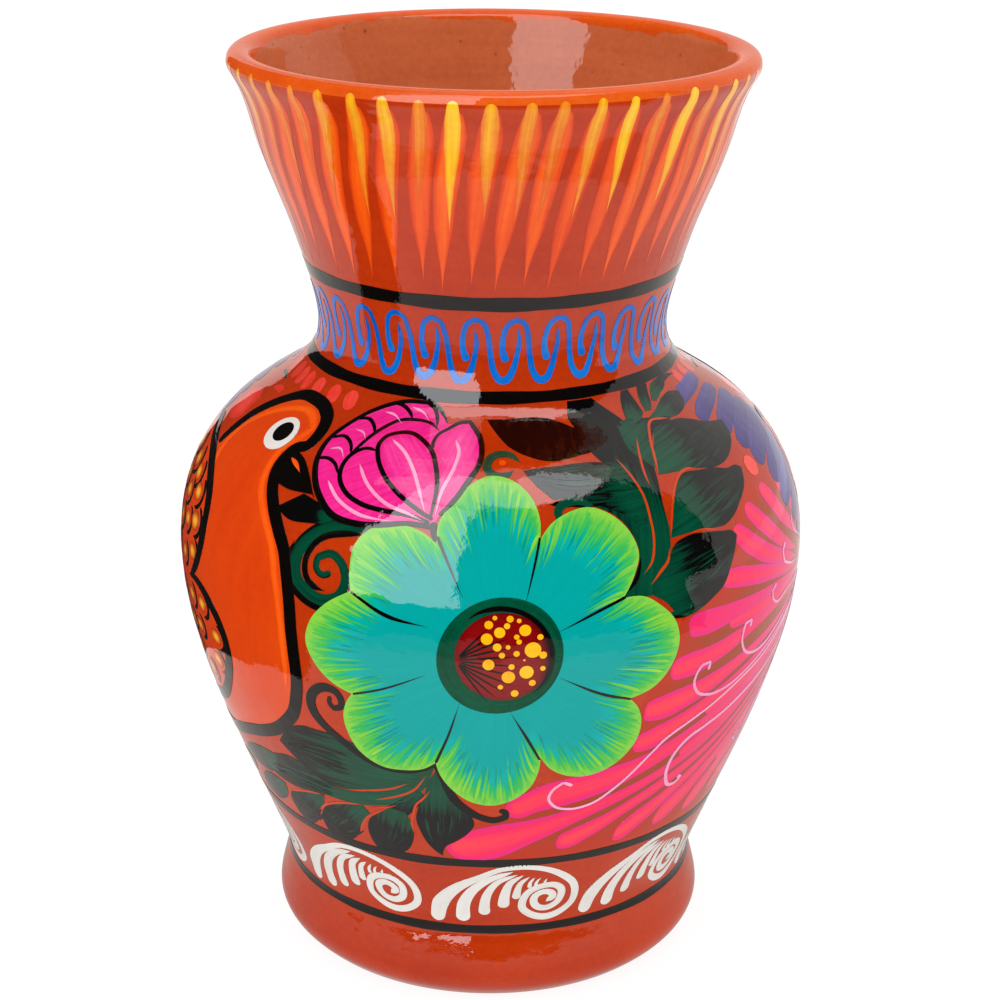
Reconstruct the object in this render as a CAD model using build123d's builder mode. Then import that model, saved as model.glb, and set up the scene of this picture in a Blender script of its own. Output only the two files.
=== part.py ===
from build123d import *
import os

# Earthenware flower vase: a rolled foot, a round belly, a narrow collar and a wide flared mouth.
# The pot is thrown and luted in sections, and each section is its own solid here. Neighbouring
# sections meet face to face on level joints.
# Millimetres, +Z up. The origin is the centre of the ring that the vase stands on.

# Heights of the joints, from the table up
ring_top = 5.0
slab_top = 13.0
waist_joint = 27.0
belly_joint = 112.0
throat_joint = 171.8
collar_joint = 196.5
lip_joint = 247.0
height = 254.0

# Outside radii that drive the silhouette
stand_radius = 54.5
foot_radius = 61.5
waist_radius = 59.3
belly_radius = 87.4
throat_radius = 48.0
lip_radius = 71.0

# Foot ring and floor
ring_bore_radius = 46.0
ring_edge_round = 1.5
floor_radius = 50.0
slab_edge_round = 0.8

# Inside radii
cove_radius = 52.2
inner_belly_radius = 79.8
inner_throat_radius = 40.5
mouth_radius = 63.2
lip_crown_radius = 67.2

# Outer outline as (radius, height), from the table to the lip's joint
outer_points = [
    (stand_radius, 0),
    (59.9, ring_top),
    (foot_radius, 12.0),
    (waist_radius, 23.0),
    (63.8, 37.0),
    (73.5, 61.0),
    (82.6, 87.5),
    (belly_radius, 116.5),
    (84.6, 136.0),
    (76.2, 150.8),
    (63.0, 161.8),
    (52.2, 169.4),
    (48.6, 175.6),
    (throat_radius, 181.5),
    (50.4, 193.0),
    (56.5, 211.5),
    (63.8, 231.0),
    (69.4, lip_joint),
]

# Inner outline as (radius, height), from the floor to the lip's joint
inner_points = [
    (floor_radius, slab_top),
    (cove_radius, 24.5),
    (58.2, 42.0),
    (66.6, 63.0),
    (75.4, 90.0),
    (inner_belly_radius, 115.0),
    (77.2, 133.0),
    (69.4, 147.0),
    (57.6, 156.4),
    (46.2, 164.6),
    (41.6, 172.6),
    (inner_throat_radius, 182.0),
    (43.0, 194.6),
    (49.4, 213.6),
    (56.6, 232.6),
    (62.2, lip_joint),
]


def wall_section(low, high):
    """Half of the clay wall's cross-section between two heights, with its bottom end square."""
    with BuildSketch(Plane.XZ) as section:
        with BuildLine():
            outside = Spline(*outer_points)
            inside = Spline(*inner_points)
            Line(outside @ 1, inside @ 1)
            Polyline(inside @ 0, (floor_radius, 0), outside @ 0)
        make_face()
        with Locations((belly_radius / 2, (low + high) / 2)):
            Rectangle(belly_radius * 1.2, high - low, mode=Mode.INTERSECT)
    return section.sketch


# Foot ring: the low rolled ring that touches the table, with a recess inside it
with BuildPart() as foot_ring:
    revolve(wall_section(0, ring_top), axis=Axis.Z)
    with BuildSketch(Plane.XY):
        Circle(floor_radius)
        Circle(ring_bore_radius, mode=Mode.SUBTRACT)
    extrude(amount=ring_top)
    bore_edge = foot_ring.edges().filter_by(GeomType.CIRCLE).group_by(Axis.Z)[0].sort_by(SortBy.RADIUS)[0]
    fillet(bore_edge, ring_edge_round)
foot_ring.part.label = "foot_ring"

# Floor slab: the closed bottom of the pot, a flat disc inside the foot wall
with BuildPart() as floor_slab:
    with BuildSketch(Plane.XY.offset(ring_top)):
        Circle(floor_radius)
    extrude(amount=slab_top - ring_top)
    fillet(floor_slab.edges().group_by(Axis.Z)[-1], slab_edge_round)
floor_slab.part.label = "floor_slab"

# Foot wall: the bulging band round the floor, drawn in to a waist
with BuildPart() as foot_wall:
    revolve(wall_section(ring_top, waist_joint), axis=Axis.Z)
foot_wall.part.label = "foot_wall"

# Lower belly: the bowl that opens out from the waist to the widest girth
with BuildPart() as lower_belly:
    revolve(wall_section(waist_joint, belly_joint), axis=Axis.Z)
lower_belly.part.label = "lower_belly"

# Upper belly: the shoulder that closes in over the girth to the throat
with BuildPart() as upper_belly:
    revolve(wall_section(belly_joint, throat_joint), axis=Axis.Z)
upper_belly.part.label = "upper_belly"

# Neck collar: the short narrow ring between shoulder and mouth
with BuildPart() as neck_collar:
    revolve(wall_section(throat_joint, collar_joint), axis=Axis.Z)
neck_collar.part.label = "neck_collar"

# Flared mouth: the open cone that spreads the flowers
with BuildPart() as flared_mouth:
    revolve(wall_section(collar_joint, lip_joint), axis=Axis.Z)
flared_mouth.part.label = "flared_mouth"

# Rim lip: the coil of clay rolled round the top edge
with BuildPart() as rim_lip:
    with BuildSketch(Plane.XZ):
        with BuildLine():
            base = Line(outer_points[-1], inner_points[-1])
            crown = Spline(
                base @ 0,
                (lip_radius, 251.2),
                (lip_crown_radius, height),
                tangents=[(0.36, 1), (-0.15, 1), (-1, 0)],
            )
            Spline(
                crown @ 1,
                (mouth_radius, 250.6),
                base @ 1,
                tangents=[(-1, 0), (-0.3, -1), (-0.36, -1)],
            )
        make_face()
    revolve(axis=Axis.Z)
rim_lip.part.label = "rim_lip"

sections = [
    foot_ring,
    floor_slab,
    foot_wall,
    lower_belly,
    upper_belly,
    neck_collar,
    flared_mouth,
    rim_lip,
]
os.makedirs("parts", exist_ok=True)
for section in sections:
    export_step(section.part, f"parts/{section.part.label}.step")
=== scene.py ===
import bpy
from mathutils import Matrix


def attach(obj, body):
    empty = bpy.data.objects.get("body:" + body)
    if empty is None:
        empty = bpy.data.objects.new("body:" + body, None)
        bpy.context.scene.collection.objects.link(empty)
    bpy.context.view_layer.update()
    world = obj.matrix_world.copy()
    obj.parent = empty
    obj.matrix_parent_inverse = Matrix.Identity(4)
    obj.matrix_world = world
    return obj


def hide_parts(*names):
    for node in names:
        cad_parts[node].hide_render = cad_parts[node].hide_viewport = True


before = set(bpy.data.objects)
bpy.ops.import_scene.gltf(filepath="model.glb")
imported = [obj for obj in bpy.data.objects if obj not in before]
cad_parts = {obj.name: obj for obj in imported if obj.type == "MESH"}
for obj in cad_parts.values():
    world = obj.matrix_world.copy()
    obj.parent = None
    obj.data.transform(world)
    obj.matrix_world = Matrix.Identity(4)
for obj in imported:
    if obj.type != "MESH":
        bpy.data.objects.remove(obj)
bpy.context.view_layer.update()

import math

import bpy
import numpy as np
from mathutils import Matrix, Vector
from mathutils.geometry import delaunay_2d_cdt

# A painted earthenware vase. The clay is eight thrown sections that stand for the eight CAD solids.
# All paint is thin films that lie on the clay and are named for what they show.
# A point on the clay is given as (azimuth in degrees, height in mm). Azimuth 0 faces -Y, and 90 faces +X.

MM = 0.001             # metres
rng = np.random.default_rng(11)
leaf_rng = np.random.default_rng(5)      # for streaks in leaves and for the purple feathers

# ---------------------------------------------------------------- outline of the clay

OUTER = [
    (56.2, 0), (60.4, 4), (62, 8.2), (61.8, 11.4), (60.95, 15), (60, 18.6), (59.35, 21.4), (59.4, 24),
    (61.1, 30), (63.8, 37), (73.5, 61), (82.6, 87.5), (87.4, 116.5), (84.6, 136), (76.2, 150.8),
    (63, 161.8), (52.2, 169.4), (48.6, 175.6), (48, 181.5), (50.4, 193), (56.5, 211.5), (63.8, 231),
    (69.4, 247),
]
LIP = [(71, 251.2), (70.1, 253.1), (67.2, 254), (64.5, 253), (63.2, 250.6)]
INNER = [
    (62.2, 247), (56.6, 232.6), (49.4, 213.6), (43, 194.6), (40.5, 182), (41.6, 172.6), (46.2, 164.6),
    (57.6, 156.4), (69.4, 147), (77.2, 133), (79.8, 115), (75.4, 90), (66.6, 63), (58.2, 42),
    (52.2, 24.5), (50, 13),
]
RING_TOP, SLAB_TOP, WAIST, GIRTH, THROAT, COLLAR, LIP_JOINT = 5, 13, 27, 112, 171.8, 196.5, 247
RING_BORE, FLOOR_RADIUS, RING_ROUND, SLAB_ROUND = 46, 50, 1.5, 0.8
SLIP_HEIGHT = 251      # the brighter slip on the lip starts here
PAINT_INSET = 0.3      # the painted clay lies this far inside the CAD outline, so that the paint stays in it
LIP_INSET = 0.1
LEVEL = 0.033          # lift of one paint layer over the one below
STAGGER = 0.0025       # lift of one mark over the next, so that marks that cross don't share a height
EDGE_LIFT = -0.05      # a mark's edges end just inside the clay
AROUND = 360           # clay facets round the axis


def spline_samples(points, spacing):
    """A natural cubic spline through points, by chord length, sampled evenly."""
    p = np.array(points, float)
    t = np.concatenate([[0], np.cumsum(np.linalg.norm(np.diff(p, axis=0), axis=1))])
    h = np.diff(t)
    n = len(p)
    left = np.eye(n)
    right = np.zeros((n, 2))
    for i in range(1, n - 1):
        left[i, i - 1:i + 2] = h[i - 1], 2 * (h[i - 1] + h[i]), h[i]
        right[i] = 6 * ((p[i + 1] - p[i]) / h[i] - (p[i] - p[i - 1]) / h[i - 1])
    bend = np.linalg.solve(left, right)
    s = np.linspace(0, t[-1], int(t[-1] / spacing))
    k = np.clip(np.searchsorted(t, s, side="right") - 1, 0, n - 2)
    a = ((t[k + 1] - s) / h[k])[:, None]
    b = 1 - a
    square = (h[k] ** 2 / 6)[:, None]
    return a * p[k] + b * p[k + 1] + ((a ** 3 - a) * bend[k] + (b ** 3 - b) * bend[k + 1]) * square


OUTLINE = spline_samples(OUTER + LIP + INNER, 0.05)
ARC = np.concatenate([[0], np.cumsum(np.linalg.norm(np.diff(OUTLINE, axis=0), axis=1))])
SLOPE = np.gradient(OUTLINE, ARC, axis=0)
CROWN = int(np.argmax(OUTLINE[:, 1]))
CROWN_ARC = ARC[CROWN]


def arc_at(height):
    """Distance along the outside of the clay, from the table up to a height."""
    return np.interp(height, OUTLINE[:CROWN, 1], ARC[:CROWN])


def inner_arc_at(height):
    """Distance along the outline to a height on the inside of the clay."""
    return np.interp(-np.asarray(height, float), -OUTLINE[CROWN:, 1], ARC[CROWN:])


def radius_at(arc):
    """The outline's radius in mm, at a distance along it."""
    return np.interp(arc, ARC, OUTLINE[:, 0])


def place(azimuth, arc, lift=0.0):
    """Points in metres and their normals, for places on the clay raised by lift mm."""
    azimuth, arc = np.broadcast_arrays(np.radians(azimuth), arc)
    r, z = radius_at(arc), np.interp(arc, ARC, OUTLINE[:, 1])
    out, up = np.interp(arc, ARC, SLOPE[:, 1]), -np.interp(arc, ARC, SLOPE[:, 0])
    near_ends = [0, 4, CROWN_ARC - 6, CROWN_ARC - 1]
    inset = np.interp(arc, near_ends, [LIP_INSET, PAINT_INSET, PAINT_INSET, LIP_INSET])
    hand = 0.03 * np.sin(2 * azimuth + z / 31) + 0.02 * np.sin(3 * azimuth - z / 17) + 0.015 * np.sin(z / 2.6)
    move = lift - inset + hand * np.clip((inset - LIP_INSET) / (PAINT_INSET - LIP_INSET), 0, 1)
    r, z = r + move * out, z + move * up
    point = np.stack([r * np.sin(azimuth), -r * np.cos(azimuth), z], axis=-1) * MM
    normal = np.stack([out * np.sin(azimuth), -out * np.cos(azimuth), up], axis=-1)
    return point, normal / np.linalg.norm(normal, axis=-1, keepdims=True)


# ---------------------------------------------------------------- materials


def linear(red, green, blue):
    """An sRGB colour, 0 to 255, as Blender's linear colour."""
    c = np.array([red, green, blue]) / 255
    return (*np.where(c <= 0.04045, c / 12.92, ((c + 0.055) / 1.055) ** 2.4), 1.0)


class Nodes:
    """A small helper that adds and links the nodes of one material."""

    def __init__(self, name):
        self.material = bpy.data.materials.new(name)
        self.material.use_nodes = True
        self.tree = self.material.node_tree
        self.shader = self.tree.nodes["Principled BSDF"]

    def add(self, kind, inputs=(), **settings):
        """A new node. Each input is a value or another node's socket."""
        node = self.tree.nodes.new(kind)
        for key, value in settings.items():
            setattr(node, key, value)
        for key, value in dict(inputs).items():
            if isinstance(value, bpy.types.NodeSocket):
                self.tree.links.new(value, node.inputs[key])
            else:
                node.inputs[key].default_value = value
        return node

    def sum(self, *terms):
        """Adds up (socket, weight, middle) terms, each taken as weight * (socket - middle)."""
        total = None
        for socket, weight, middle in terms:
            start = -weight * middle if total is None else total
            part = self.add("ShaderNodeMath", {0: socket, 1: weight, 2: 0.0}, operation="MULTIPLY_ADD")
            if total is None:
                part.inputs[2].default_value = start
                total = part.outputs[0]
                continue
            part.inputs[2].default_value = -weight * middle
            total = self.add("ShaderNodeMath", {0: total, 1: part.outputs[0]}, operation="ADD").outputs[0]
        return total

    def ramp(self, factor, stops, smooth=False):
        """A colour from sRGB stops, as the factor runs from 0 to 1."""
        node = self.add("ShaderNodeValToRGB", {0: factor})
        ramp = node.color_ramp
        ramp.interpolation = "EASE" if smooth else "LINEAR"
        while len(ramp.elements) < len(stops):
            ramp.elements.new(0.5)
        for element, (position, colour) in zip(ramp.elements, stops):
            element.position = position
            element.color = linear(*colour)
        return node.outputs["Color"]

    def noise(self, vector, scale, detail, roughness):
        """Noise between 0 and 1."""
        found = {"Vector": vector, "Scale": scale, "Detail": detail, "Roughness": roughness}
        return self.add("ShaderNodeTexNoise", found).outputs["Fac"]


PAINT_ROUGHNESS, PAINT_RELIEF, CLAY_RELIEF = 0.45, 0.25, 0.5
ROUGHNESS_SPREAD = 0.08
COAT_ROUGHNESS, COAT_IOR, BARE_SPECULAR = 0.035, 1.5, 0.4
BRUSH_DEPTH, GLAZE_DEPTH = 0.00012, 0.0006      # metres that the bumps of paint and glaze stand for


def glazed(name, stops, streak=0.3, grain=0.2, across=1.1, along=0.06, gloss=1.0, mottle=0.0, smooth=False):
    """Brushed paint under a clear gloss. The stops are taken by the mark's shade, brush streaks and grain."""
    nodes = Nodes(name)
    brush = nodes.add("ShaderNodeUVMap", uv_map="brush").outputs["UV"]
    scaled = {"Vector": brush, "Scale": (across, along, 1)}
    stretched = nodes.add("ShaderNodeMapping", scaled).outputs["Vector"]
    streaks = nodes.noise(stretched, 1.0, 4.0, 0.62)
    position = nodes.add("ShaderNodeTexCoord").outputs["Object"]
    fine = nodes.noise(position, 420.0, 4.0, 0.6)
    broad = nodes.noise(position, 34.0, 2.0, 0.5)
    shade = nodes.add("ShaderNodeAttribute", attribute_name="shade").outputs["Fac"]
    factor = nodes.sum((shade, 1.0, 0.0), (streaks, streak * 2, 0.5), (fine, grain * 2, 0.5),
                       (broad, mottle * 2, 0.5))
    nodes.tree.links.new(nodes.ramp(factor, stops, smooth), nodes.shader.inputs["Base Color"])
    finish(nodes, streaks, fine, position, gloss, PAINT_ROUGHNESS, PAINT_RELIEF)
    return nodes.material


def finish(nodes, streaks, fine, position, gloss, rough, relief):
    """Sets a clear coat over the paint, with the low relief of brush marks and of hand-laid glaze."""
    height = nodes.sum((streaks, 0.6, 0.5), (fine, 0.4, 0.5))
    paint_bump = nodes.add("ShaderNodeBump", {"Height": height, "Strength": relief, "Distance": BRUSH_DEPTH})
    flow = nodes.sum((nodes.noise(position, 52.0, 3.0, 0.5), 1.0, 0.5),
                     (nodes.noise(position, 260.0, 3.0, 0.6), 0.10, 0.5))
    facing = nodes.add("ShaderNodeLayerWeight", {"Blend": 0.5}).outputs["Facing"]
    edges = {"Value": facing, "From Min": 0.55, "From Max": 0.9, "To Min": 0.9, "To Max": 0.05}
    calm = nodes.add("ShaderNodeMapRange", edges)
    uneven = {"Height": flow, "Strength": calm.outputs["Result"], "Distance": GLAZE_DEPTH}
    coat_bump = nodes.add("ShaderNodeBump", uneven)
    nodes.tree.links.new(paint_bump.outputs["Normal"], nodes.shader.inputs["Normal"])
    nodes.tree.links.new(coat_bump.outputs["Normal"], nodes.shader.inputs["Coat Normal"])
    limits = {"Value": fine, "To Min": rough - ROUGHNESS_SPREAD, "To Max": rough + ROUGHNESS_SPREAD}
    roughness = nodes.add("ShaderNodeMapRange", limits)
    nodes.tree.links.new(roughness.outputs["Result"], nodes.shader.inputs["Roughness"])
    nodes.shader.inputs["Specular IOR Level"].default_value = 0.0 if gloss else BARE_SPECULAR
    nodes.shader.inputs["Coat Weight"].default_value = gloss
    nodes.shader.inputs["Coat Roughness"].default_value = COAT_ROUGHNESS
    nodes.shader.inputs["Coat IOR"].default_value = COAT_IOR


def clay(name, stops, gloss, rough, pits=0.0):
    """Fired clay, coloured by noise through its body, with turning lines and small dark pits."""
    nodes = Nodes(name)
    position = nodes.add("ShaderNodeTexCoord").outputs["Object"]
    broad = nodes.noise(position, 26.0, 3.0, 0.55)
    fine = nodes.noise(position, 600.0, 5.0, 0.6)
    flat = nodes.add("ShaderNodeMapping", {"Vector": position, "Scale": (9, 9, 300)}).outputs["Vector"]
    turning = nodes.noise(flat, 1.0, 3.0, 0.6)
    factor = nodes.sum((broad, 0.7, 0.0), (fine, 0.45, 0.5), (turning, 0.35, 0.5))
    colour = nodes.ramp(factor, stops)
    if pits:
        cells = nodes.add("ShaderNodeTexVoronoi", {"Vector": position, "Scale": 170.0}).outputs["Distance"]
        limits = {"Value": cells, "From Min": 0.05, "From Max": 0.13, "To Min": pits, "To Max": 0.0}
        spots = nodes.add("ShaderNodeMapRange", limits)
        pit_colour = {"Fac": spots.outputs["Result"], "Color1": colour, "Color2": linear(92, 36, 20)}
        mix = nodes.add("ShaderNodeMixRGB", pit_colour)
        colour = mix.outputs["Color"]
    nodes.tree.links.new(colour, nodes.shader.inputs["Base Color"])
    finish(nodes, turning, fine, position, gloss, rough, CLAY_RELIEF)
    return nodes.material


BLACK = [(0.0, (12, 6, 4)), (0.55, (5, 3, 2)), (1.0, (40, 26, 22))]
MATERIALS = {
    "ground": clay("vase_orange_slip", [(0.15, (174, 42, 4)), (0.5, (192, 55, 7)), (0.85, (206, 69, 13))],
                   1.0, 0.45),
    "rim": clay("vase_rim_slip", [(0.15, (210, 72, 12)), (0.5, (228, 92, 24)), (0.85, (238, 112, 42))],
                0.65, 0.45),
    "inner": clay("vase_inner_clay", [(0.1, (188, 92, 52)), (0.45, (208, 110, 68)), (0.9, (224, 134, 92))],
                  0.6, 0.35, 0.5),
    "foot": clay("vase_foot_clay", [(0.1, (150, 66, 40)), (0.5, (176, 88, 58)), (0.9, (196, 112, 82))],
                 0.0, 0.75, 0.4),
    "black": glazed("paint_black", BLACK, 0.35, 0.2),
    "yellow": glazed("paint_yellow", [(0.0, (228, 92, 18)), (0.35, (240, 146, 32)), (0.65, (250, 190, 22)),
                                      (1.0, (254, 212, 66))],
                     0.4, 0.15, 1.5, 0.04),
    "dots": glazed("paint_dot_yellow", [(0.0, (246, 130, 4)), (0.5, (254, 186, 10)), (1.0, (255, 208, 50))],
                   0.2, 0.2),
    "orange": glazed("paint_bright_orange", [(0.0, (204, 52, 4)), (0.35, (232, 72, 8)), (0.65, (248, 94, 14)),
                                             (1.0, (252, 122, 34))],
                     0.35, 0.12, 0.9, 0.04),
    "blue": glazed("paint_blue", [(0.0, (0, 72, 158)), (0.5, (4, 104, 204)), (1.0, (40, 136, 222))],
                   0.35, 0.2),
    "petal": glazed("paint_petal", [(0.0, (0, 146, 144)), (0.55, (0, 172, 166)), (0.70, (0, 176, 136)),
                                    (0.84, (60, 184, 84)), (1.0, (136, 206, 68))],
                    0.2, 0.06, 1.3, 0.03, gloss=0.62),
    "lime": glazed("paint_lime", [(0.0, (0, 170, 104)), (0.4, (70, 188, 76)), (0.75, (138, 206, 62)),
                                  (1.0, (168, 222, 72))], 0.3, 0.1, gloss=0.65),
    "teal": glazed("paint_teal", [(0.0, (0, 120, 116)), (0.5, (0, 148, 140)), (1.0, (20, 170, 120))],
                   0.3, 0.1, gloss=0.62),
    "leaf": glazed("paint_leaf_green", [(0.0, (2, 80, 54)), (0.4, (0, 60, 40)), (0.50, (4, 40, 28)),
                                        (0.58, (6, 8, 7)), (1.0, (4, 3, 3))],
                   0.55, 0.06, 1.0, 0.03),
    "ring": glazed("paint_ring_green", [(0.0, (0, 42, 28)), (0.5, (0, 74, 50)), (1.0, (4, 106, 72))],
                   0.4, 0.2, 0.8, 0.05, gloss=0.55),
    "disc": glazed("paint_disc_red", [(0.0, (52, 2, 4)), (0.4, (124, 2, 6)), (0.8, (144, 8, 8)),
                                      (1.0, (170, 26, 14))], 0.25, 0.25),
    "pink": glazed("paint_pink", [(0.0, (206, 10, 110)), (0.4, (238, 34, 138)), (0.75, (250, 70, 160)),
                                  (1.0, (252, 140, 196))], 0.35, 0.12),
    "plume": glazed("paint_plume", [(0.0, (222, 36, 140)), (0.3, (238, 22, 118)), (0.6, (248, 26, 92)),
                                    (1.0, (252, 62, 78))],
                    0.3, 0.1, 0.9, 0.03),
    "pale": glazed("paint_pale_pink", [(0.0, (232, 116, 170)), (0.5, (244, 160, 198)),
                                       (1.0, (252, 206, 222))], 0.3, 0.15),
    "coral": glazed("paint_coral", [(0.0, (208, 50, 20)), (0.5, (236, 62, 48)), (1.0, (250, 88, 76))],
                    0.4, 0.2, 0.7, 0.05),
    "purple": glazed("paint_purple", [(0.0, (36, 26, 88)), (0.5, (64, 50, 128)), (1.0, (98, 82, 168))],
                     0.45, 0.15, 0.8, 0.03),
    "white": glazed("paint_white", [(0.0, (204, 198, 190)), (0.45, (228, 224, 217)), (1.0, (240, 238, 233))],
                    0.4, 0.2),
    "bird": glazed("paint_bird_orange", [(0.0, (204, 50, 4)), (0.5, (222, 68, 8)), (1.0, (236, 86, 14))],
                   0.2, 0.15, 0.35, 0.02, mottle=0.25),
    "spot": glazed("paint_spot", [(0.0, (130, 40, 10)), (0.3, (196, 74, 14)), (0.6, (238, 150, 30)),
                                  (0.85, (250, 194, 60)), (1.0, (252, 214, 104))],
                   0.12, 0.12, 0.5, 0.2),
    "brown": glazed("paint_brown", [(0.0, (188, 42, 4)), (0.5, (160, 60, 18)), (1.0, (124, 70, 26))],
                    0.3, 0.15, 0.4, 0.02, smooth=True),
    "gap": glazed("paint_gap_orange", [(0.0, (190, 48, 4)), (0.5, (206, 60, 8)), (1.0, (220, 76, 14))],
                  0.3, 0.15),
}

# ---------------------------------------------------------------- meshes


def mesh_object(name, points, normals, faces, materials, face_material=None):
    """A mesh object from points in metres, with a shading normal for each face corner."""
    mesh = bpy.data.meshes.new(name)
    mesh.from_pydata(points.tolist(), [], faces)
    for material in materials:
        mesh.materials.append(material)
    mesh.polygons.foreach_set("use_smooth", np.ones(len(faces), bool))
    if face_material is not None:
        mesh.polygons.foreach_set("material_index", np.array(face_material, np.int32))
    mesh.normals_split_custom_set(normals.tolist())
    thing = bpy.data.objects.new(name, mesh)
    bpy.context.scene.collection.objects.link(thing)
    return thing


def lathe(name, node, rows, kinds):
    """A closed thrown section. A row is (radius, height) in mm, or an arc on the outline.
    Kinds says what lies between each row and the next."""
    azimuth = np.arange(AROUND) * 360 / AROUND
    grid, lean = [], []
    for row in rows:
        if np.ndim(row) == 0:
            point, normal = place(azimuth, row)
        else:
            a = np.radians(azimuth)
            point = np.stack([row[0] * np.sin(a), -row[0] * np.cos(a), np.full(AROUND, row[1])], axis=-1) * MM
            normal = np.full((AROUND, 3), np.nan)
        grid.append(point)
        lean.append(normal)
    points, smooth = np.concatenate(grid), np.concatenate(lean)
    faces, face_material = [], []
    count = len(rows)
    for i, kind in enumerate(kinds):
        if kind == "open":
            continue
        low, high = i * AROUND, (i + 1) % count * AROUND
        for j in range(AROUND):
            k = (j + 1) % AROUND
            faces.append((low + j, low + k, high + k, high + j))
            face_material.append({"paint": 0, "inner": 1, "bare": 2, "rim": 3}.get(kind, 1))
    flat_faces = {"joint", "bare"}
    corner = []
    made = 0
    for i, kind in enumerate(kinds):
        if kind == "open":
            continue
        block = np.array(faces[made * AROUND:(made + 1) * AROUND])
        a, b, c = points[block[:, 0]], points[block[:, 1]], points[block[:, 2]]
        flat = np.cross(b - a, c - a)
        flat /= np.linalg.norm(flat, axis=1, keepdims=True)
        own = np.repeat(flat, 4, axis=0)
        if kind not in flat_faces:
            wanted = smooth[block.ravel()]
            own = np.where(np.isnan(wanted), own, wanted)
        corner.append(own)
        made += 1
    for end, flip in ((0, True), (count - 1, False)):
        if kinds[-1] == "open":
            ring = [end * AROUND + j for j in range(AROUND)]
            faces.append(tuple(reversed(ring)) if flip else tuple(ring))
            face_material.append(1)
            corner.append(np.tile([[0, 0, -1.0 if flip else 1.0]], (AROUND, 1)))
    made_of = [MATERIALS["ground"], MATERIALS["inner"], MATERIALS["foot"], MATERIALS["rim"]]
    thing = mesh_object(name, points, np.concatenate(corner), faces, made_of, face_material)
    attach(thing, "root")
    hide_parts(node)
    return thing


def wall(name, low, high):
    """The clay between two joints, painted outside and bare inside."""
    outside = np.linspace(arc_at(low), arc_at(high), int(high - low) + 2)
    inside = np.linspace(inner_arc_at(high), inner_arc_at(max(low, SLAB_TOP)), int(high - low) + 2)
    rows = [*outside, *inside]
    kinds = ["paint"] * (len(outside) - 1) + ["joint"] + ["inner"] * (len(inside) - 1) + ["joint"]
    if low < SLAB_TOP:
        rows.append((FLOOR_RADIUS, low))
        kinds[-1:] = ["joint", "joint"]
    lathe("clay_" + name, name, rows, kinds)


def rounded(centre, radius, start, stop):
    """Points on a quarter round, as (radius, height)."""
    turn = np.radians(np.linspace(start, stop, 6))
    return [(centre[0] + radius * math.cos(t), centre[1] + radius * math.sin(t)) for t in turn]


bore_round = rounded((RING_BORE + RING_ROUND, RING_ROUND), RING_ROUND, 180, 270)
ring_outside = list(np.linspace(arc_at(0), arc_at(RING_TOP), 8))
ring_rows = [*bore_round, *ring_outside, (RING_BORE, RING_TOP)]
ring_kinds = ["bare"] * len(bore_round) + ["paint"] * (len(ring_outside) - 1) + ["joint", "bare"]
lathe("clay_foot_ring", "foot_ring", ring_rows, ring_kinds)

MIDDLE_GAP, HALF_WAY = 0.4, 25      # radii in mm; a last flat face closes the gap at the slab's middle
slab_rows = [(MIDDLE_GAP, RING_TOP), (HALF_WAY, RING_TOP), (FLOOR_RADIUS, RING_TOP)]
slab_rows += rounded((FLOOR_RADIUS - SLAB_ROUND, SLAB_TOP - SLAB_ROUND), SLAB_ROUND, 0, 90)
slab_rows += [(35, SLAB_TOP), (18, SLAB_TOP), (MIDDLE_GAP, SLAB_TOP)]
slab_kinds = ["bare", "bare"] + ["inner"] * (len(slab_rows) - 3) + ["open"]
lathe("clay_floor_slab", "floor_slab", slab_rows, slab_kinds)

wall("foot_wall", RING_TOP, WAIST)
wall("lower_belly", WAIST, GIRTH)
wall("upper_belly", GIRTH, THROAT)
wall("neck_collar", THROAT, COLLAR)
wall("flared_mouth", COLLAR, LIP_JOINT)
lip_rows = list(np.linspace(arc_at(LIP_JOINT), inner_arc_at(LIP_JOINT), 60))
slip_start, slip_end = arc_at(SLIP_HEIGHT), CROWN_ARC + 1
lip_kinds = ["paint" if arc < slip_start else "rim" if arc < slip_end else "inner" for arc in lip_rows[1:]]
lip_kinds.append("joint")
lathe("clay_rim_lip", "rim_lip", lip_rows, lip_kinds)

# ---------------------------------------------------------------- brush marks

STROKE_SPACING, PATCH_SPACING = 0.8, 1.3      # mm between the rows of a mark's mesh
ROUND_END = np.array([0.0, 0.03, 0.12, 0.3, 0.6])      # where extra rows round off a stroke's end


def chart(points):
    """Azimuth and height as flat mm, with the radius that turns them back into degrees."""
    p = np.array(points, float)
    arcs = arc_at(p[:, 1])
    radius = float(radius_at(arcs.mean()))
    return np.column_stack([np.radians(p[:, 0]) * radius, arcs]), radius


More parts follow.
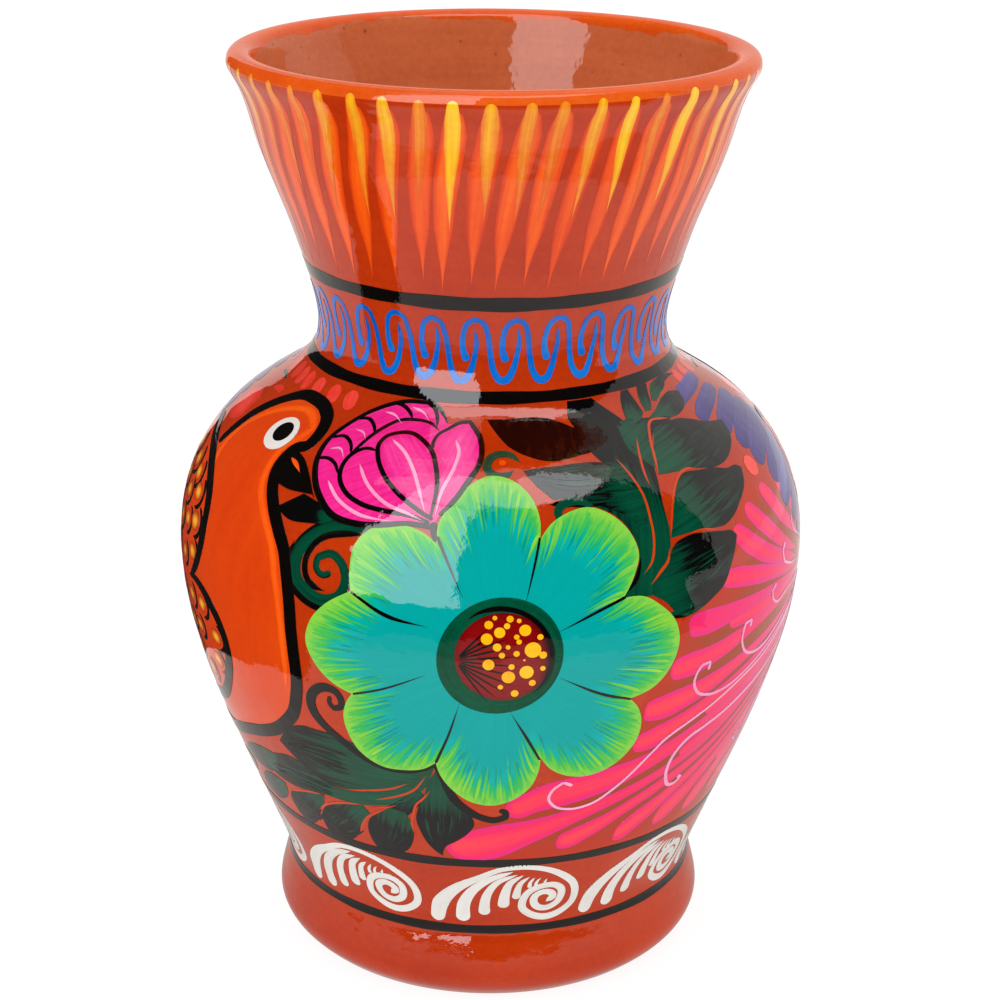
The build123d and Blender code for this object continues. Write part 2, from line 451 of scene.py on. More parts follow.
def smooth_line(p, closed=False, spacing=0.6, corner=62):
    """A smooth line through flat points that keeps turns sharper than corner degrees.
    Also gives each sample's place in the list."""
    n = len(p)
    ends = np.vstack([p, p[:1]]) if closed else p
    step = np.diff(ends, axis=0)
    length = np.maximum(np.linalg.norm(step, axis=1), 1e-6)
    heading = step / length[:, None]
    before = np.vstack([heading[-1:] if closed else heading[:1], heading[:n - 1]])
    after = heading if closed else np.vstack([heading, heading[-1:]])
    len_before = np.concatenate([length[-1:] if closed else length[:1], length[:n - 1]])
    len_after = length if closed else np.concatenate([length, length[-1:]])
    mean = (before * len_after[:, None] + after * len_before[:, None]) / (len_before + len_after)[:, None]
    sharp = ((before * after).sum(1) < math.cos(math.radians(corner)))[:, None]
    arrive, leave = np.where(sharp, before, mean), np.where(sharp, after, mean)
    line, where = [], []
    for i in range(len(step)):
        j = (i + 1) % n
        t = np.arange(0, 1, 1 / max(1, math.ceil(length[i] / spacing)))[:, None]
        a, b = p[i], p[i] + step[i]
        out_of, into = leave[i] * length[i], arrive[j] * length[i]
        near_end = (2 * t**3 - 3 * t**2 + 1) * a + (t**3 - 2 * t**2 + t) * out_of
        line.append(near_end + (3 * t**2 - 2 * t**3) * b + (t**3 - t**2) * into)
        where.append(i + t[:, 0])
    if not closed:
        line.append(p[-1:])
        where.append([n - 1.0])
    return np.vstack(line), np.concatenate(where)


def grid_faces(rows, columns):
    """Faces of a grid of points that are listed row by row."""
    return [(i * columns + j, i * columns + j + 1, (i + 1) * columns + j + 1, (i + 1) * columns + j)
            for i in range(rows - 1) for j in range(columns - 1)]


def stroke(points, width, start=0.0, end=0.0, shade=None):
    """One brush stroke. Start and end are the lengths in mm over which it comes to a point; 0 is a round end.
    The shade is a number, or a function of (place across from -1 to 1, place along from 0 to 1)."""
    p, radius = chart(points)
    line, where = smooth_line(p, spacing=0.35)
    widths = np.interp(where, np.arange(len(p)), np.broadcast_to(width, len(p)))
    s = np.concatenate([[0], np.cumsum(np.linalg.norm(np.diff(line, axis=0), axis=1))])
    total = s[-1]
    reach_in, reach_out = start or min(widths[0] / 2, total / 2), end or min(widths[-1] / 2, total / 2)
    even = np.linspace(0, total, max(4, int(total / STROKE_SPACING)))
    at = np.unique(np.concatenate([even, ROUND_END * reach_in, total - ROUND_END * reach_out]))
    x, y = np.interp(at, s, line[:, 0]), np.interp(at, s, line[:, 1])
    w = np.interp(at, s, widths)
    for gone, reach, pointed in ((at, reach_in, start), (total - at, reach_out, end)):
        f = np.clip(gone / max(reach, 1e-6), 0, 1)
        w = w * np.maximum(np.sin(f * math.pi / 2) if pointed else np.sqrt(1 - (1 - f) ** 2), 0.05)
    heading = np.stack([np.gradient(x, at), np.gradient(y, at)])
    heading /= np.linalg.norm(heading, axis=0)
    columns = max(3, int(w.max() / 1.2) + 2)
    q = np.linspace(-1, 1, columns)[None, :]
    half = w[:, None] / 2
    arc = y[:, None] + heading[0][:, None] * q * half
    azimuth = np.degrees(x[:, None] / radius - heading[1][:, None] * q * half / radius_at(arc))
    along = np.broadcast_to(at[:, None], arc.shape)
    return mark(azimuth, arc, grid_faces(len(at), columns), q * half, along,
                tone(shade, np.broadcast_to(q, arc.shape), along / total))


def patch(one_side, other_side, shade):
    """A mark ruled between its two sides, each listed from its head to its foot."""
    sides = []
    _, radius = chart(list(one_side) + list(other_side))
    for side in (one_side, other_side):
        p = np.array(side, float)
        flat = np.column_stack([np.radians(p[:, 0]) * radius, arc_at(p[:, 1])])
        line, _ = smooth_line(flat)
        s = np.concatenate([[0], np.cumsum(np.linalg.norm(np.diff(line, axis=0), axis=1))])
        sides.append((line, s))
    longest = max(s[-1] for _, s in sides)
    even = np.linspace(0, 1, max(6, int(longest / PATCH_SPACING)))
    share = np.unique(np.concatenate([even, even[1] * np.array([0.1, 0.3, 0.6])]))
    rims = [np.column_stack([np.interp(share * s[-1], s, line[:, k]) for k in (0, 1)]) for line, s in sides]
    gap = np.linalg.norm(rims[0] - rims[1], axis=1).max()
    columns = max(3, int(gap / PATCH_SPACING) + 2)
    q = np.linspace(-1, 1, columns)[None, :, None]
    both = rims[0][:, None] * (1 - q) / 2 + rims[1][:, None] * (1 + q) / 2
    along = np.broadcast_to((share * longest)[:, None], both.shape[:2])
    across = np.broadcast_to(q[:, :, 0], both.shape[:2])
    return mark(np.degrees(both[..., 0] / radius), both[..., 1], grid_faces(len(share), columns),
                across * gap / 2, along, tone(shade, across, along / longest))


def fill(outline, shade=None, grain=0.0, brush=None, spacing=1.7, corner=62):
    """A mark that fills a closed outline.
    The shade is a number, or a function of (x, y, distance in from the edge), in flat mm.
    Brush gives the streaks' (across, along) in mm from (azimuth, arc).
    Without it they run at grain degrees from level."""
    p, radius = chart(outline)
    edge, _ = smooth_line(p, closed=True, spacing=0.7, corner=corner)
    low, high = edge.min(0), edge.max(0)
    columns = np.arange(low[0], high[0], spacing)
    rows = np.arange(low[1], high[1], spacing * 0.87)
    inside = [(x + (row % 2) * spacing / 2, y) for row, y in enumerate(rows) for x in columns]
    inside = np.array(inside).reshape(-1, 2)
    if len(inside):
        far = edge_distance(inside, edge)
        inside = inside[(far > 0.5 * spacing) & within(inside, edge)]
    points = np.vstack([edge, inside])
    ring = [list(range(len(edge)))]
    verts, _, faces, *_ = delaunay_2d_cdt([Vector(v) for v in points], [], ring, 1, 1e-5)
    flat = np.array([tuple(v) for v in verts])
    azimuth, arc = np.degrees(flat[:, 0] / radius), flat[:, 1]
    if brush:
        across, along = brush(azimuth, arc)
    else:
        turn = math.radians(grain)
        along = flat[:, 0] * math.cos(turn) + flat[:, 1] * math.sin(turn)
        across = flat[:, 1] * math.cos(turn) - flat[:, 0] * math.sin(turn)
    depth = edge_distance(flat, edge) if callable(shade) else None
    value = shade(flat[:, 0], flat[:, 1], depth) if callable(shade) else tone(shade, across, along)
    return mark(azimuth, arc, [tuple(face) for face in faces], across, along, value)


def edge_distance(points, edge):
    """Distance from each point to the nearest stretch of a closed outline."""
    a, b = edge, np.roll(edge, -1, axis=0)
    run = b - a
    size = np.maximum((run ** 2).sum(1), 1e-12)
    t = np.clip(((points[:, None] - a) * run).sum(2) / size, 0, 1)
    return np.linalg.norm(points[:, None] - (a + t[..., None] * run), axis=2).min(1)


def within(points, edge):
    """Which points lie inside a closed outline."""
    a, b = edge, np.roll(edge, -1, axis=0)
    x, y = points[:, :1], points[:, 1:]
    crosses = (a[:, 1] > y) != (b[:, 1] > y)
    rise = np.where(b[:, 1] == a[:, 1], 1e-9, b[:, 1] - a[:, 1])
    return (crosses & (x < a[:, 0] + (y - a[:, 1]) / rise * (b[:, 0] - a[:, 0]))).sum(1) % 2 == 1


def tone(shade, across, along):
    """A shade for every point of a mark. Without one, the mark takes a random middle shade."""
    if callable(shade):
        return shade(across, along)
    return np.full(np.shape(across), rng.uniform(0.38, 0.62) if shade is None else shade)


def mark(azimuth, arc, faces, across, along, shade):
    """A brush mark's mesh on the clay, with its faces turned outwards."""
    shape = np.shape(azimuth)
    flat = [np.broadcast_to(v, shape).astype(float).ravel() for v in (azimuth, arc, across, along, shade)]
    first = np.array([face[:3] for face in faces])
    x, y = flat[0][first], flat[1][first]
    area = (x[:, 1] - x[:, 0]) * (y[:, 2] - y[:, 0]) - (x[:, 2] - x[:, 0]) * (y[:, 1] - y[:, 0])
    if area.sum() < 0:
        faces = [face[::-1] for face in faces]
    seed = rng.uniform(0, 400)
    return {"azimuth": flat[0], "arc": flat[1], "across": flat[2] + seed, "along": flat[3], "shade": flat[4],
            "faces": faces}


def oval(azimuth, height, wide, tall, start=0, stop=360):
    """Points round an oval on the clay, given its half width and half height in mm."""
    arc = float(arc_at(height))
    here = float(radius_at(arc))
    turn = np.radians(np.arange(start, stop, 30 if stop - start >= 360 else 22))
    heights = np.interp(arc + tall * np.sin(turn), ARC, OUTLINE[:, 1])
    turned = [float(azimuth + math.degrees(wide * math.cos(t) / here)) for t in turn]
    return [(a, float(h)) for a, h in zip(turned, heights)]


def dot(azimuth, height, radius, shade=None):
    """A round dab of paint, given its radius in mm."""
    return fill(oval(azimuth, height, radius, radius), shade, spacing=0.9)


def lay(name, paint, level, marks, turns=(0,)):
    """One named film of paint made of brush marks, repeated at each turn round the vase.
    Its edges are closed down to the clay."""
    points, normals, faces, uvs, shades = [], [], [], [], []
    base = 0
    for turn in turns:
        for rank, painted in enumerate(marks):
            lift = level * LEVEL + rank % 5 * STAGGER
            top, lean = place(painted["azimuth"] + turn, painted["arc"], lift)
            rim = boundary(painted["faces"])
            used = sorted({v for edge in rim for v in edge})
            low, low_lean = place(painted["azimuth"][used] + turn, painted["arc"][used], EDGE_LIFT)
            under = {v: base + len(top) + k for k, v in enumerate(used)}
            points += [top, low]
            normals += [lean, low_lean]
            picked = np.concatenate([np.arange(len(top)), used]).astype(int)
            uvs.append(np.column_stack([painted["across"][picked] + turn, painted["along"][picked]]))
            shades.append(painted["shade"][picked])
            faces += [tuple(base + v for v in face) for face in painted["faces"]]
            faces += [(base + b, base + a, under[a], under[b]) for a, b in rim]
            base += len(top) + len(low)
    points, normals, uvs = np.concatenate(points), np.concatenate(normals), np.concatenate(uvs)
    corners = np.fromiter((v for face in faces for v in face), int)
    thing = mesh_object(name, points, normals[corners], faces, [MATERIALS[paint]])
    thing.data.uv_layers.new(name="brush").data.foreach_set("uv", uvs[corners].astype(np.float32).ravel())
    shade = thing.data.attributes.new("shade", "FLOAT", "POINT")
    shade.data.foreach_set("value", np.concatenate(shades).astype(np.float32))
    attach(thing, "root")
    return thing


def boundary(faces):
    """The outer edges of some faces, in the faces' own direction."""
    found = {}
    for face in faces:
        for a, b in zip(face, face[1:] + face[:1]):
            if (b, a) in found:
                del found[(b, a)]
            else:
                found[(a, b)] = True
    return list(found)


TWICE = (0, 180)       # the belly's picture is painted twice, on opposite sides


def around(count):
    """Evenly spaced azimuths."""
    return [k * 360 / count for k in range(count)]


# ---------------------------------------------------------------- bands, mouth and collar

BAND_COLUMNS, SLIP_COLUMNS = 5, 9


def band(height, thick, wander):
    """A hand-turned line right round the vase."""
    azimuth = np.linspace(0, 360, AROUND + 1)
    drift = np.sin(np.radians(azimuth) + height) + 0.4 * np.sin(np.radians(3 * azimuth) + height * 2)
    edge = 0.03 * thick * np.sin(np.radians(5 * azimuth) + height)
    edge += 0.03 * thick * np.sin(np.radians(17 * azimuth))
    middle = arc_at(height) + wander * drift
    q = np.linspace(-1, 1, BAND_COLUMNS)[None, :]
    arc = middle[:, None] - q * (thick / 2 + edge[:, None])
    where = np.broadcast_to(azimuth[:, None], arc.shape)
    return mark(where, arc, grid_faces(len(azimuth), BAND_COLUMNS), q * thick / 2, where, 0.45)


lay("collar_top_band", "black", 3, [band(196.7, 3.9, 0.25)])
lay("collar_base_band", "black", 3, [band(172.0, 3.2, 0.25)])
lay("belly_line", "black", 3, [band(47.0, 3.0, 0.8)])
lay("foot_line", "black", 3, [band(22.1, 2.4, 0.3)])

rim_edge = np.linspace(0, 360, AROUND + 1)
# The lip's slip ends inside the mouth in an uneven edge.
drip = 4.6 + 0.8 * np.sin(np.radians(3 * rim_edge)) + 0.6 * np.sin(np.radians(8 * rim_edge + 40))
drip += 0.7 * np.maximum(0, np.sin(np.radians(17 * rim_edge + 60 * np.sin(np.radians(2 * rim_edge))))) ** 2
drip += 0.25 * np.sin(np.radians(41 * rim_edge + 90 * np.sin(np.radians(5 * rim_edge))))
slip_share = np.linspace(0, 1, SLIP_COLUMNS)[None, :]
slip_arc = CROWN_ARC - 1 + slip_share * (drip[:, None] + 1)
slip_where = np.broadcast_to(rim_edge[:, None], slip_arc.shape)
slip_edge = mark(slip_where, slip_arc, grid_faces(len(rim_edge), SLIP_COLUMNS), slip_arc, slip_where, 0.35)
lay("rim_slip_edge", "rim", 1, [slip_edge])

MOUTH_STROKES = 49
yellow, orange = [], []
for turn in around(MOUTH_STROKES):
    a = turn + rng.normal(0, 0.4)
    lean = -2.3 + rng.normal(0, 0.8)
    tip = 219 + rng.normal(0, 2)
    wide = rng.uniform(0.8, 1.1)
    top = 251.8 + rng.normal(0, 0.25)
    solid = rng.uniform(0.3, 0.95)
    path = [(a, top), (a + 0.12 * lean, 246), (a + 0.33 * lean, 239), (a + 0.66 * lean, 229), (a + lean, tip)]
    yellow.append(stroke(path, [2.6 * wide, 4.1 * wide, 3.9 * wide, 2.0 * wide, 0.5], end=12,
                         shade=lambda q, t, k=solid: k - 0.30 * q ** 2 - 0.42 * t))
    reach = 200.5 + rng.normal(0, 1.2)
    slant = -5.4 + rng.normal(0, 0.8)
    strong = rng.uniform(0.62, 0.85)
    path = [(a + 0.2, 249.5), (a - 0.3, 243), (a + 0.40 * slant, 231), (a + 0.68 * slant, 218),
            (a + slant, reach)]
    orange.append(stroke(path, [4.0, 6.4, 6.6 * wide, 4.9, 0.7], end=20,
                         shade=lambda q, t, k=strong: k - 0.62 * np.abs(q) ** 2.5 - 0.25 * t))
lay("mouth_orange_strokes", "orange", 1, orange)
lay("mouth_yellow_strokes", "yellow", 2, yellow)

SQUIGGLE_COUNT, SQUIGGLE_START = 29, -4.3
SQUIGGLE = [(-3.4, 180.8), (-4.5, 184), (-4.3, 188), (-2.9, 191.2), (-0.6, 192.5), (1.7, 191.5), (3.1, 188),
            (4, 182), (5.1, 178), (6.9, 176), (9, 176.2), (10.8, 178.6), (12, 182.4), (12.6, 186.4),
            (12.1, 190)]
SQUIGGLE_WIDTHS = [2.4, 1.6, 1.4, 1.4, 1.5, 1.4, 1.4, 1.5, 1.7, 2.0, 2.0, 1.7, 1.4, 1.2, 0.7]
squiggle = []
for turn in around(SQUIGGLE_COUNT):
    a = turn + SQUIGGLE_START + rng.normal(0, 0.35)
    h = rng.normal(0, 0.25)
    squiggle.append(stroke([(a + x, z + h) for x, z in SQUIGGLE], SQUIGGLE_WIDTHS, end=3,
                           shade=lambda q, t, k=rng.uniform(0.4, 0.6): k + 0.15 * np.cos(9 * t)))
lay("collar_squiggle", "blue", 3, squiggle)

# ---------------------------------------------------------------- foot scrolls

ARCH = [(-14, 24.3), (-12.5, 31), (-8.5, 36.7), (-3, 41), (3, 44.5), (8, 45), (13, 43.7), (18, 40.3),
        (21, 36.7), (22, 33.3), (21.5, 29.3), (19, 26.7), (15, 25.5), (11, 26.7), (8.5, 29.3), (8.5, 32.7),
        (10, 35.7), (13, 37.3), (16, 37.2), (18, 35.3), (18.3, 32.7), (17.5, 30.3), (15, 28.7), (12.5, 29.3),
        (11.3, 31.3), (11.5, 33.7), (13.5, 35), (15.5, 34.3), (16.3, 32.7), (14.5, 31)]
ARCH_WIDTHS = [3.8, 4.6, 3.4, 2.2, 1.8, 1.8, 1.9] + [2.2] * 23
# Width in mm, and path.
COMMAS = [
    (3.6, [(5.5, 43.5), (0, 40.7), (-4, 36.7), (-6.5, 31.3), (-7, 24.8)]),
    (3.0, [(6.5, 42.3), (2, 39.7), (-0.5, 35.3), (-1.3, 30.7), (-1.3, 27.2)]),
    (3.0, [(8, 42), (5, 39.3), (3.8, 35), (3.5, 29.8)]),
    (2.2, [(9.5, 41.2), (7.5, 39), (6.8, 36), (6.6, 33)]),
    (1.2, [(10.8, 40.8), (9.8, 39), (9.7, 37)]),
    (1.0, [(12.3, 40.5), (11.3, 39), (11.3, 37.4)]),
    (0.8, [(13.8, 40), (13.3, 38.4)]),
]
SCROLL_COUNT, SCROLL_MIDDLE = 9, 34      # the middle is a height in mm


def scroll(turn, shift, tall):
    """One scroll: an arch that curls in, with commas hanging from it."""
    def moved(points):
        return [(x + turn + shift, SCROLL_MIDDLE + (z - SCROLL_MIDDLE) * tall) for x, z in points]

    marks = [stroke(moved(ARCH), ARCH_WIDTHS, end=2)]
    for w, points in COMMAS:
        widths = np.linspace(0.3, 1.0, len(points)) ** 0.85 * 1.15 * w
        marks.append(stroke(moved(points), widths, start=min(4, 1.2 * w)))
    return marks


scrolls = []
for turn in around(SCROLL_COUNT):
    shift, tall = rng.normal(0, 0.5), rng.uniform(0.96, 1.02)
    scrolls += scroll(turn, shift, tall)
lay("foot_scrolls", "white", 3, scrolls)

# ---------------------------------------------------------------- the great flower

FLOWER = (1.9, 115.5)
PETALS = [
    [(-9.5, 145), (-9.3, 148), (-8, 151), (-5, 155), (0, 157.6), (4, 157), (8, 153.5), (9.3, 149),
     (9, 144.5)],
    [(9, 144.5), (11, 147.5), (15, 150), (19, 150.6), (23, 148.5), (26, 144), (26.8, 139), (25.5, 134.5),
     (23, 129)],
    [(23, 129), (27, 128.5), (30, 125.5), (33, 120.5), (34, 115), (33, 108.5), (30, 103), (25, 100.5)],
    [(25, 100.5), (27, 97), (28.2, 92), (28, 87), (25, 80.5), (20, 77.3), (15, 78), (11.5, 81), (9.5, 85)],
    [(9.5, 85), (9.3, 80), (8, 75), (5, 71), (1, 69), (-3, 70), (-7, 74.5), (-9, 79.5), (-9.5, 83)],
    [(-9.5, 83), (-12, 80.5), (-16, 79.3), (-20, 79.5), (-24, 83), (-26, 89), (-26.3, 94), (-25.5, 98),
     (-24, 101.5)],
    [(-24, 101.5), (-28, 104), (-31, 108.5), (-32.5, 114), (-31.5, 120), (-28.5, 125.5), (-25, 129),
     (-23.8, 130)],
    [(-23.8, 130), (-24.5, 136), (-24.3, 141), (-22, 145), (-18, 146.7), (-14, 146.5), (-11, 145),
     (-9.5, 143.5)],
]
PETAL_FOOT = 13      # mm from the flower's middle, hidden by the ring
COMB_COUNT = 31
flower_arc = float(arc_at(FLOWER[1]))
flower_radius = float(radius_at(flower_arc))


def from_flower(azimuth, arc):
    """Direction in degrees, anticlockwise from the right, and distance in mm from the flower's middle."""
    x = np.radians(np.asarray(azimuth) - FLOWER[0]) * radius_at(arc)
    y = np.asarray(arc) - flower_arc
    return np.degrees(np.arctan2(y, x)), np.hypot(x, y)


def at_flower(direction, distance):
    """Azimuth and height of a place seen from the flower's middle."""
    t = math.radians(direction)
    arc = flower_arc + distance * math.sin(t)
    height = float(np.interp(arc, ARC, OUTLINE[:, 1]))
    return FLOWER[0] + math.degrees(distance * math.cos(t) / float(radius_at(arc))), height


def fading(start, drop):
    """A shade that falls by drop along a stroke."""
    return lambda q, t: start - drop * t


def petal(outline):
    """One petal as a filled mark, the lime strokes that comb in from its rim, and fine teal veins."""
    ends = np.array(outline, float)
    direction, distance = from_flower(ends[:, 0], arc_at(ends[:, 1]))
    direction = np.degrees(np.unwrap(np.radians(direction)))
    order = np.argsort(direction)
    direction, distance = direction[order], distance[order]
    middle = direction.mean()
    _, radius = chart(outline + [at_flower(direction[-1], PETAL_FOOT), at_flower(direction[0], PETAL_FOOT)])

    def from_middle(turn):
        return (turn - middle + 180) % 360 - 180

    def petal_brush(azimuth, arc):
        turn, far = from_flower(azimuth, arc)
        return np.radians(from_middle(turn)) * 36, far

    def petal_shade(x, arc, depth):
        turn, far = from_flower(np.degrees(x / radius), arc)
        turn = from_middle(turn) + middle
        rim = np.interp(turn, direction, distance)
        return np.clip(0.5 + 0.46 * (far / rim - 0.77) / 0.20 + 0.05 * np.sin(9 * np.radians(turn)), 0.3, 1)

    last, first = [float(from_flower(a, arc_at(z))[0]) for a, z in (ends[-1], ends[0])]
    closing = [at_flower(last, PETAL_FOOT), at_flower(first, PETAL_FOOT)]
    whole = fill(outline + closing, petal_shade, brush=petal_brush)
    combs, veins = [], []
    reach = direction[-1] - direction[0]
    for turn in np.linspace(direction[0] + 1.2, direction[-1] - 1.2, COMB_COUNT):
        turn += rng.normal(0, 0.5)
        rim = float(np.interp(turn, direction, distance))
        side = abs(turn - middle) / reach * 2
        depth = rng.uniform(0.66, 0.84) - 0.05 * side
        bow = (turn - middle) * 0.12
        bright = rng.uniform(0.40, 0.85)
        path = [at_flower(turn, rim * 0.975), at_flower(turn - bow * 0.35, rim * 0.90),
                at_flower(turn - bow, rim * depth)]
        combs.append(stroke(path, [0.9, 0.8, 0.25], start=2, end=6, shade=fading(bright, 0.45)))
        if rng.uniform() < 0.5:
            turn += rng.uniform(0.8, 1.5)
            inner, outer = rng.uniform(0.68, 0.74), rng.uniform(0.80, 0.90)
            path = [at_flower(turn - bow, rim * inner), at_flower(turn - bow * 0.5, rim * outer)]
            veins.append(stroke(path, [0.6, 0.5], start=3, end=4, shade=rng.uniform(0.4, 0.9)))
    return whole, combs, veins


petals, petal_combs, petal_veins = [], [], []
for outline in PETALS:
    whole, combs, veins = petal(outline)
    petals.append(whole)
    petal_combs += combs
    petal_veins += veins
lay("flower_petals", "petal", 5, petals, TWICE)
lay("flower_petal_rims", "lime", 5.5, petal_combs, TWICE)
lay("flower_petal_veins", "teal", 6, petal_veins, TWICE)

# Widths in mm, and path.
SEPARATORS = [
    ([0.9, 0.7, 0.3], [(-9.3, 145), (-7, 139), (-4.3, 131)]),
    ([0.6, 0.6, 0.3], [(9, 145), (8, 140), (6, 129.5)]),
    ([0.8, 0.8, 0.3], [(23.5, 129.2), (18.5, 126.5), (11.5, 122)]),
    ([0.6, 0.8, 0.3], [(25.3, 100.2), (20, 103), (12, 109.3)]),
    ([0.6, 0.8, 0.3], [(9.4, 84.3), (7, 91), (3.7, 100)]),
    ([0.8, 0.6, 0.3], [(-9.5, 83), (-7, 92), (-4.8, 102.5)]),
    ([0.6, 0.6, 0.3], [(-23.8, 101.5), (-19, 104), (-10.5, 110)]),
    ([0.6, 1.1, 0.3], [(-23.8, 129.8), (-17, 125), (-10, 123.2)]),
]
lay("flower_petal_lines", "black", 6.5, [stroke(p, w, end=9) for w, p in SEPARATORS], TWICE)

RING_OUTSIDE = 16      # mm, and the ring is half a millimetre out of round
ring_turns = np.arange(0, 360, 15)
ring_disc = [at_flower(t, RING_OUTSIDE + 0.5 * math.sin(math.radians(2 * t))) for t in ring_turns]


def round_brush(azimuth, arc):
    """Streaks that run round the flower's middle."""
    turn, far = from_flower(azimuth, arc)
    return far, np.abs(turn) * 0.28


lay("flower_ring", "ring", 6.9, [fill(ring_disc, 0.5, brush=round_brush)], TWICE)
DISC = (2.4, 115.6)
DISC_WIDE, DISC_TALL = 12.2, 12.0      # half sizes in mm
disc = [(DISC[0] + math.degrees(DISC_WIDE * math.cos(t) / flower_radius), DISC[1] + DISC_TALL * math.sin(t))
        for t in np.radians(ring_turns)]
disc_x = math.radians(DISC[0]) * flower_radius


def disc_shade(x, y, depth):
    """Darker at the edge and towards the right."""
    return 0.62 - 0.45 * np.clip((x - disc_x) / 12, 0, 1) ** 3 - 0.2 * np.clip(1.5 - depth, 0, 1.5)


lay("flower_disc", "disc", 7.4, [fill(disc, disc_shade)], TWICE)
LASH_COUNT = 11
lashes = []
for k in range(LASH_COUNT):
    t = math.radians(-78 + 15.6 * k)
    tip = (DISC[0] - 4.6 + 8.2 * math.cos(t * 0.95) * 0.9, DISC[1] - 2.4 + 10.5 * math.sin(t))
    root = (DISC[0] - 7.4, DISC[1] - 1.0 + 1.2 * math.sin(t))
    bend = ((root[0] + tip[0]) / 2 + 0.3, (root[1] + tip[1]) / 2 + 0.6 * math.sin(t))
    lashes.append(stroke([root, bend, tip], [0.5, 0.55, 0.25], start=2, end=5, shade=0.3))
lay("flower_disc_lashes", "black", 7.9, lashes, TWICE)
RING_INSIDE = 13.2
shadow = [at_flower(turn, RING_INSIDE) for turn in range(-50, 131, 15)]
lay("flower_disc_shadow", "black", 8.1, [stroke(shadow, 1.3, start=9, end=9)], TWICE)
# Azimuth, height, and radius in mm.
DOTS = [(1, 126.3, 0.6), (3.5, 126, 0.9), (5, 125.5, 0.6), (0, 124.5, 1.1), (3, 124.2, 0.8), (6, 123, 1.5),
        (1.8, 122.5, 1.4), (-0.3, 120.8, 1.5), (4.6, 121.3, 0.7), (5, 120, 0.7), (8.5, 121.1, 0.8),
        (1.4, 118.6, 1.1), (3.2, 118.6, 0.6), (7.3, 117.7, 2.1), (2.2, 116.4, 0.8), (4.6, 116.8, 0.8),
        (9, 116.2, 1), (0, 113.8, 1.5), (5.9, 115, 0.3), (3.8, 113.2, 0.8), (9, 112.5, 0.7),
        (6.3, 111.6, 1.8), (3.3, 110.3, 1.7), (7.3, 108.5, 0.9), (2, 107.5, 0.7), (4.4, 105.6, 1)]
lay("flower_disc_dots", "dots", 8.3, [dot(a, z, r) for a, z, r in DOTS], TWICE)

# ---------------------------------------------------------------- the pink bud over the flower

BUD_OUTLINE = [(-10.5, 147), (-15, 147.3), (-20, 146.3), (-25, 145.7), (-30, 146.5), (-34, 149.5),
               (-37.5, 153.5), (-39.5, 157), (-40, 160.5), (-38.5, 163.3), (-35, 166.3), (-30, 168.6),
               (-25, 169.9), (-20, 170.2), (-16, 170), (-13.5, 168.5), (-11.5, 166.5)]
BUD_CENTRE = [(-10.5, 148.5), (-14, 150.5), (-18, 153), (-22, 156), (-25.5, 159.5), (-26.7, 161.5),
              (-26, 163), (-24, 163.8), (-20, 164.2), (-16, 163), (-13.5, 161.5), (-11.8, 159),
              (-10.7, 155.5), (-10.8, 151), (-11, 148.5)]
BUD_RIGHT = [(-9.5, 149.5), (-7, 152.5), (-4.5, 156.5), (-2.5, 159.5), (-2, 161.5), (-2.8, 164.5),
             (-5.5, 167), (-8, 166.8), (-11, 165.5), (-13, 164.5), (-13.8, 163), (-13.5, 162)]
BUD_LEFT = [(-11, 147.8), (-15, 149), (-20, 149.3), (-25, 150), (-29, 151.7), (-31.8, 154.5), (-32.5, 157),
            (-31.5, 159.3), (-29, 160.5), (-26, 160.3)]
BUD_BACK = [(-32.3, 157.5), (-31, 161), (-28.5, 164), (-25, 166), (-20, 166.6), (-16, 166.3), (-13, 165)]
BUD_FOLDS = [
    [(-39.6, 156.8), (-36.8, 157.3), (-34.4, 156.6), (-32.4, 154.8)],
    [(-39.8, 160.9), (-36.6, 161.7), (-33.8, 160.8), (-31.9, 158.8)],
    [(-36.9, 165), (-33.4, 165.4), (-30.8, 164.4), (-29.2, 163)],
    [(-28.6, 169.3), (-25.4, 169), (-22.8, 167.9), (-21.2, 166.6)],
    [(-18.6, 170.2), (-16.2, 169.4), (-14.8, 167.8), (-14, 165.6)],
]
BUD_LIGHTS = [
    [(-24, 162.7), (-20, 161), (-16.5, 158), (-14, 154), (-12, 149.5)],
    [(-28.7, 157.5), (-25, 154), (-20, 150.8), (-15, 149.2), (-12, 148)],
    [(-34, 153.3), (-30, 150), (-25, 147.8), (-18, 147.3)],
    [(-8.5, 163.7), (-7.3, 162), (-7.7, 159), (-9.5, 154.5), (-10.2, 149)],
    [(-22.5, 169), (-18.5, 168), (-16.5, 166.5)],
    [(-30, 167.2), (-27, 167), (-23.5, 165.5)],
    [(-35, 163.2), (-32.5, 163), (-30.5, 161.7)],
    [(-38, 159), (-35.5, 159.5), (-33, 157.8)],
]


def edge_dark(low, high, reach):
    """A shade that runs from low at a mark's edge to high at reach mm inside it."""
    return lambda x, y, depth: low + (high - low) * np.clip(depth / reach, 0, 1)


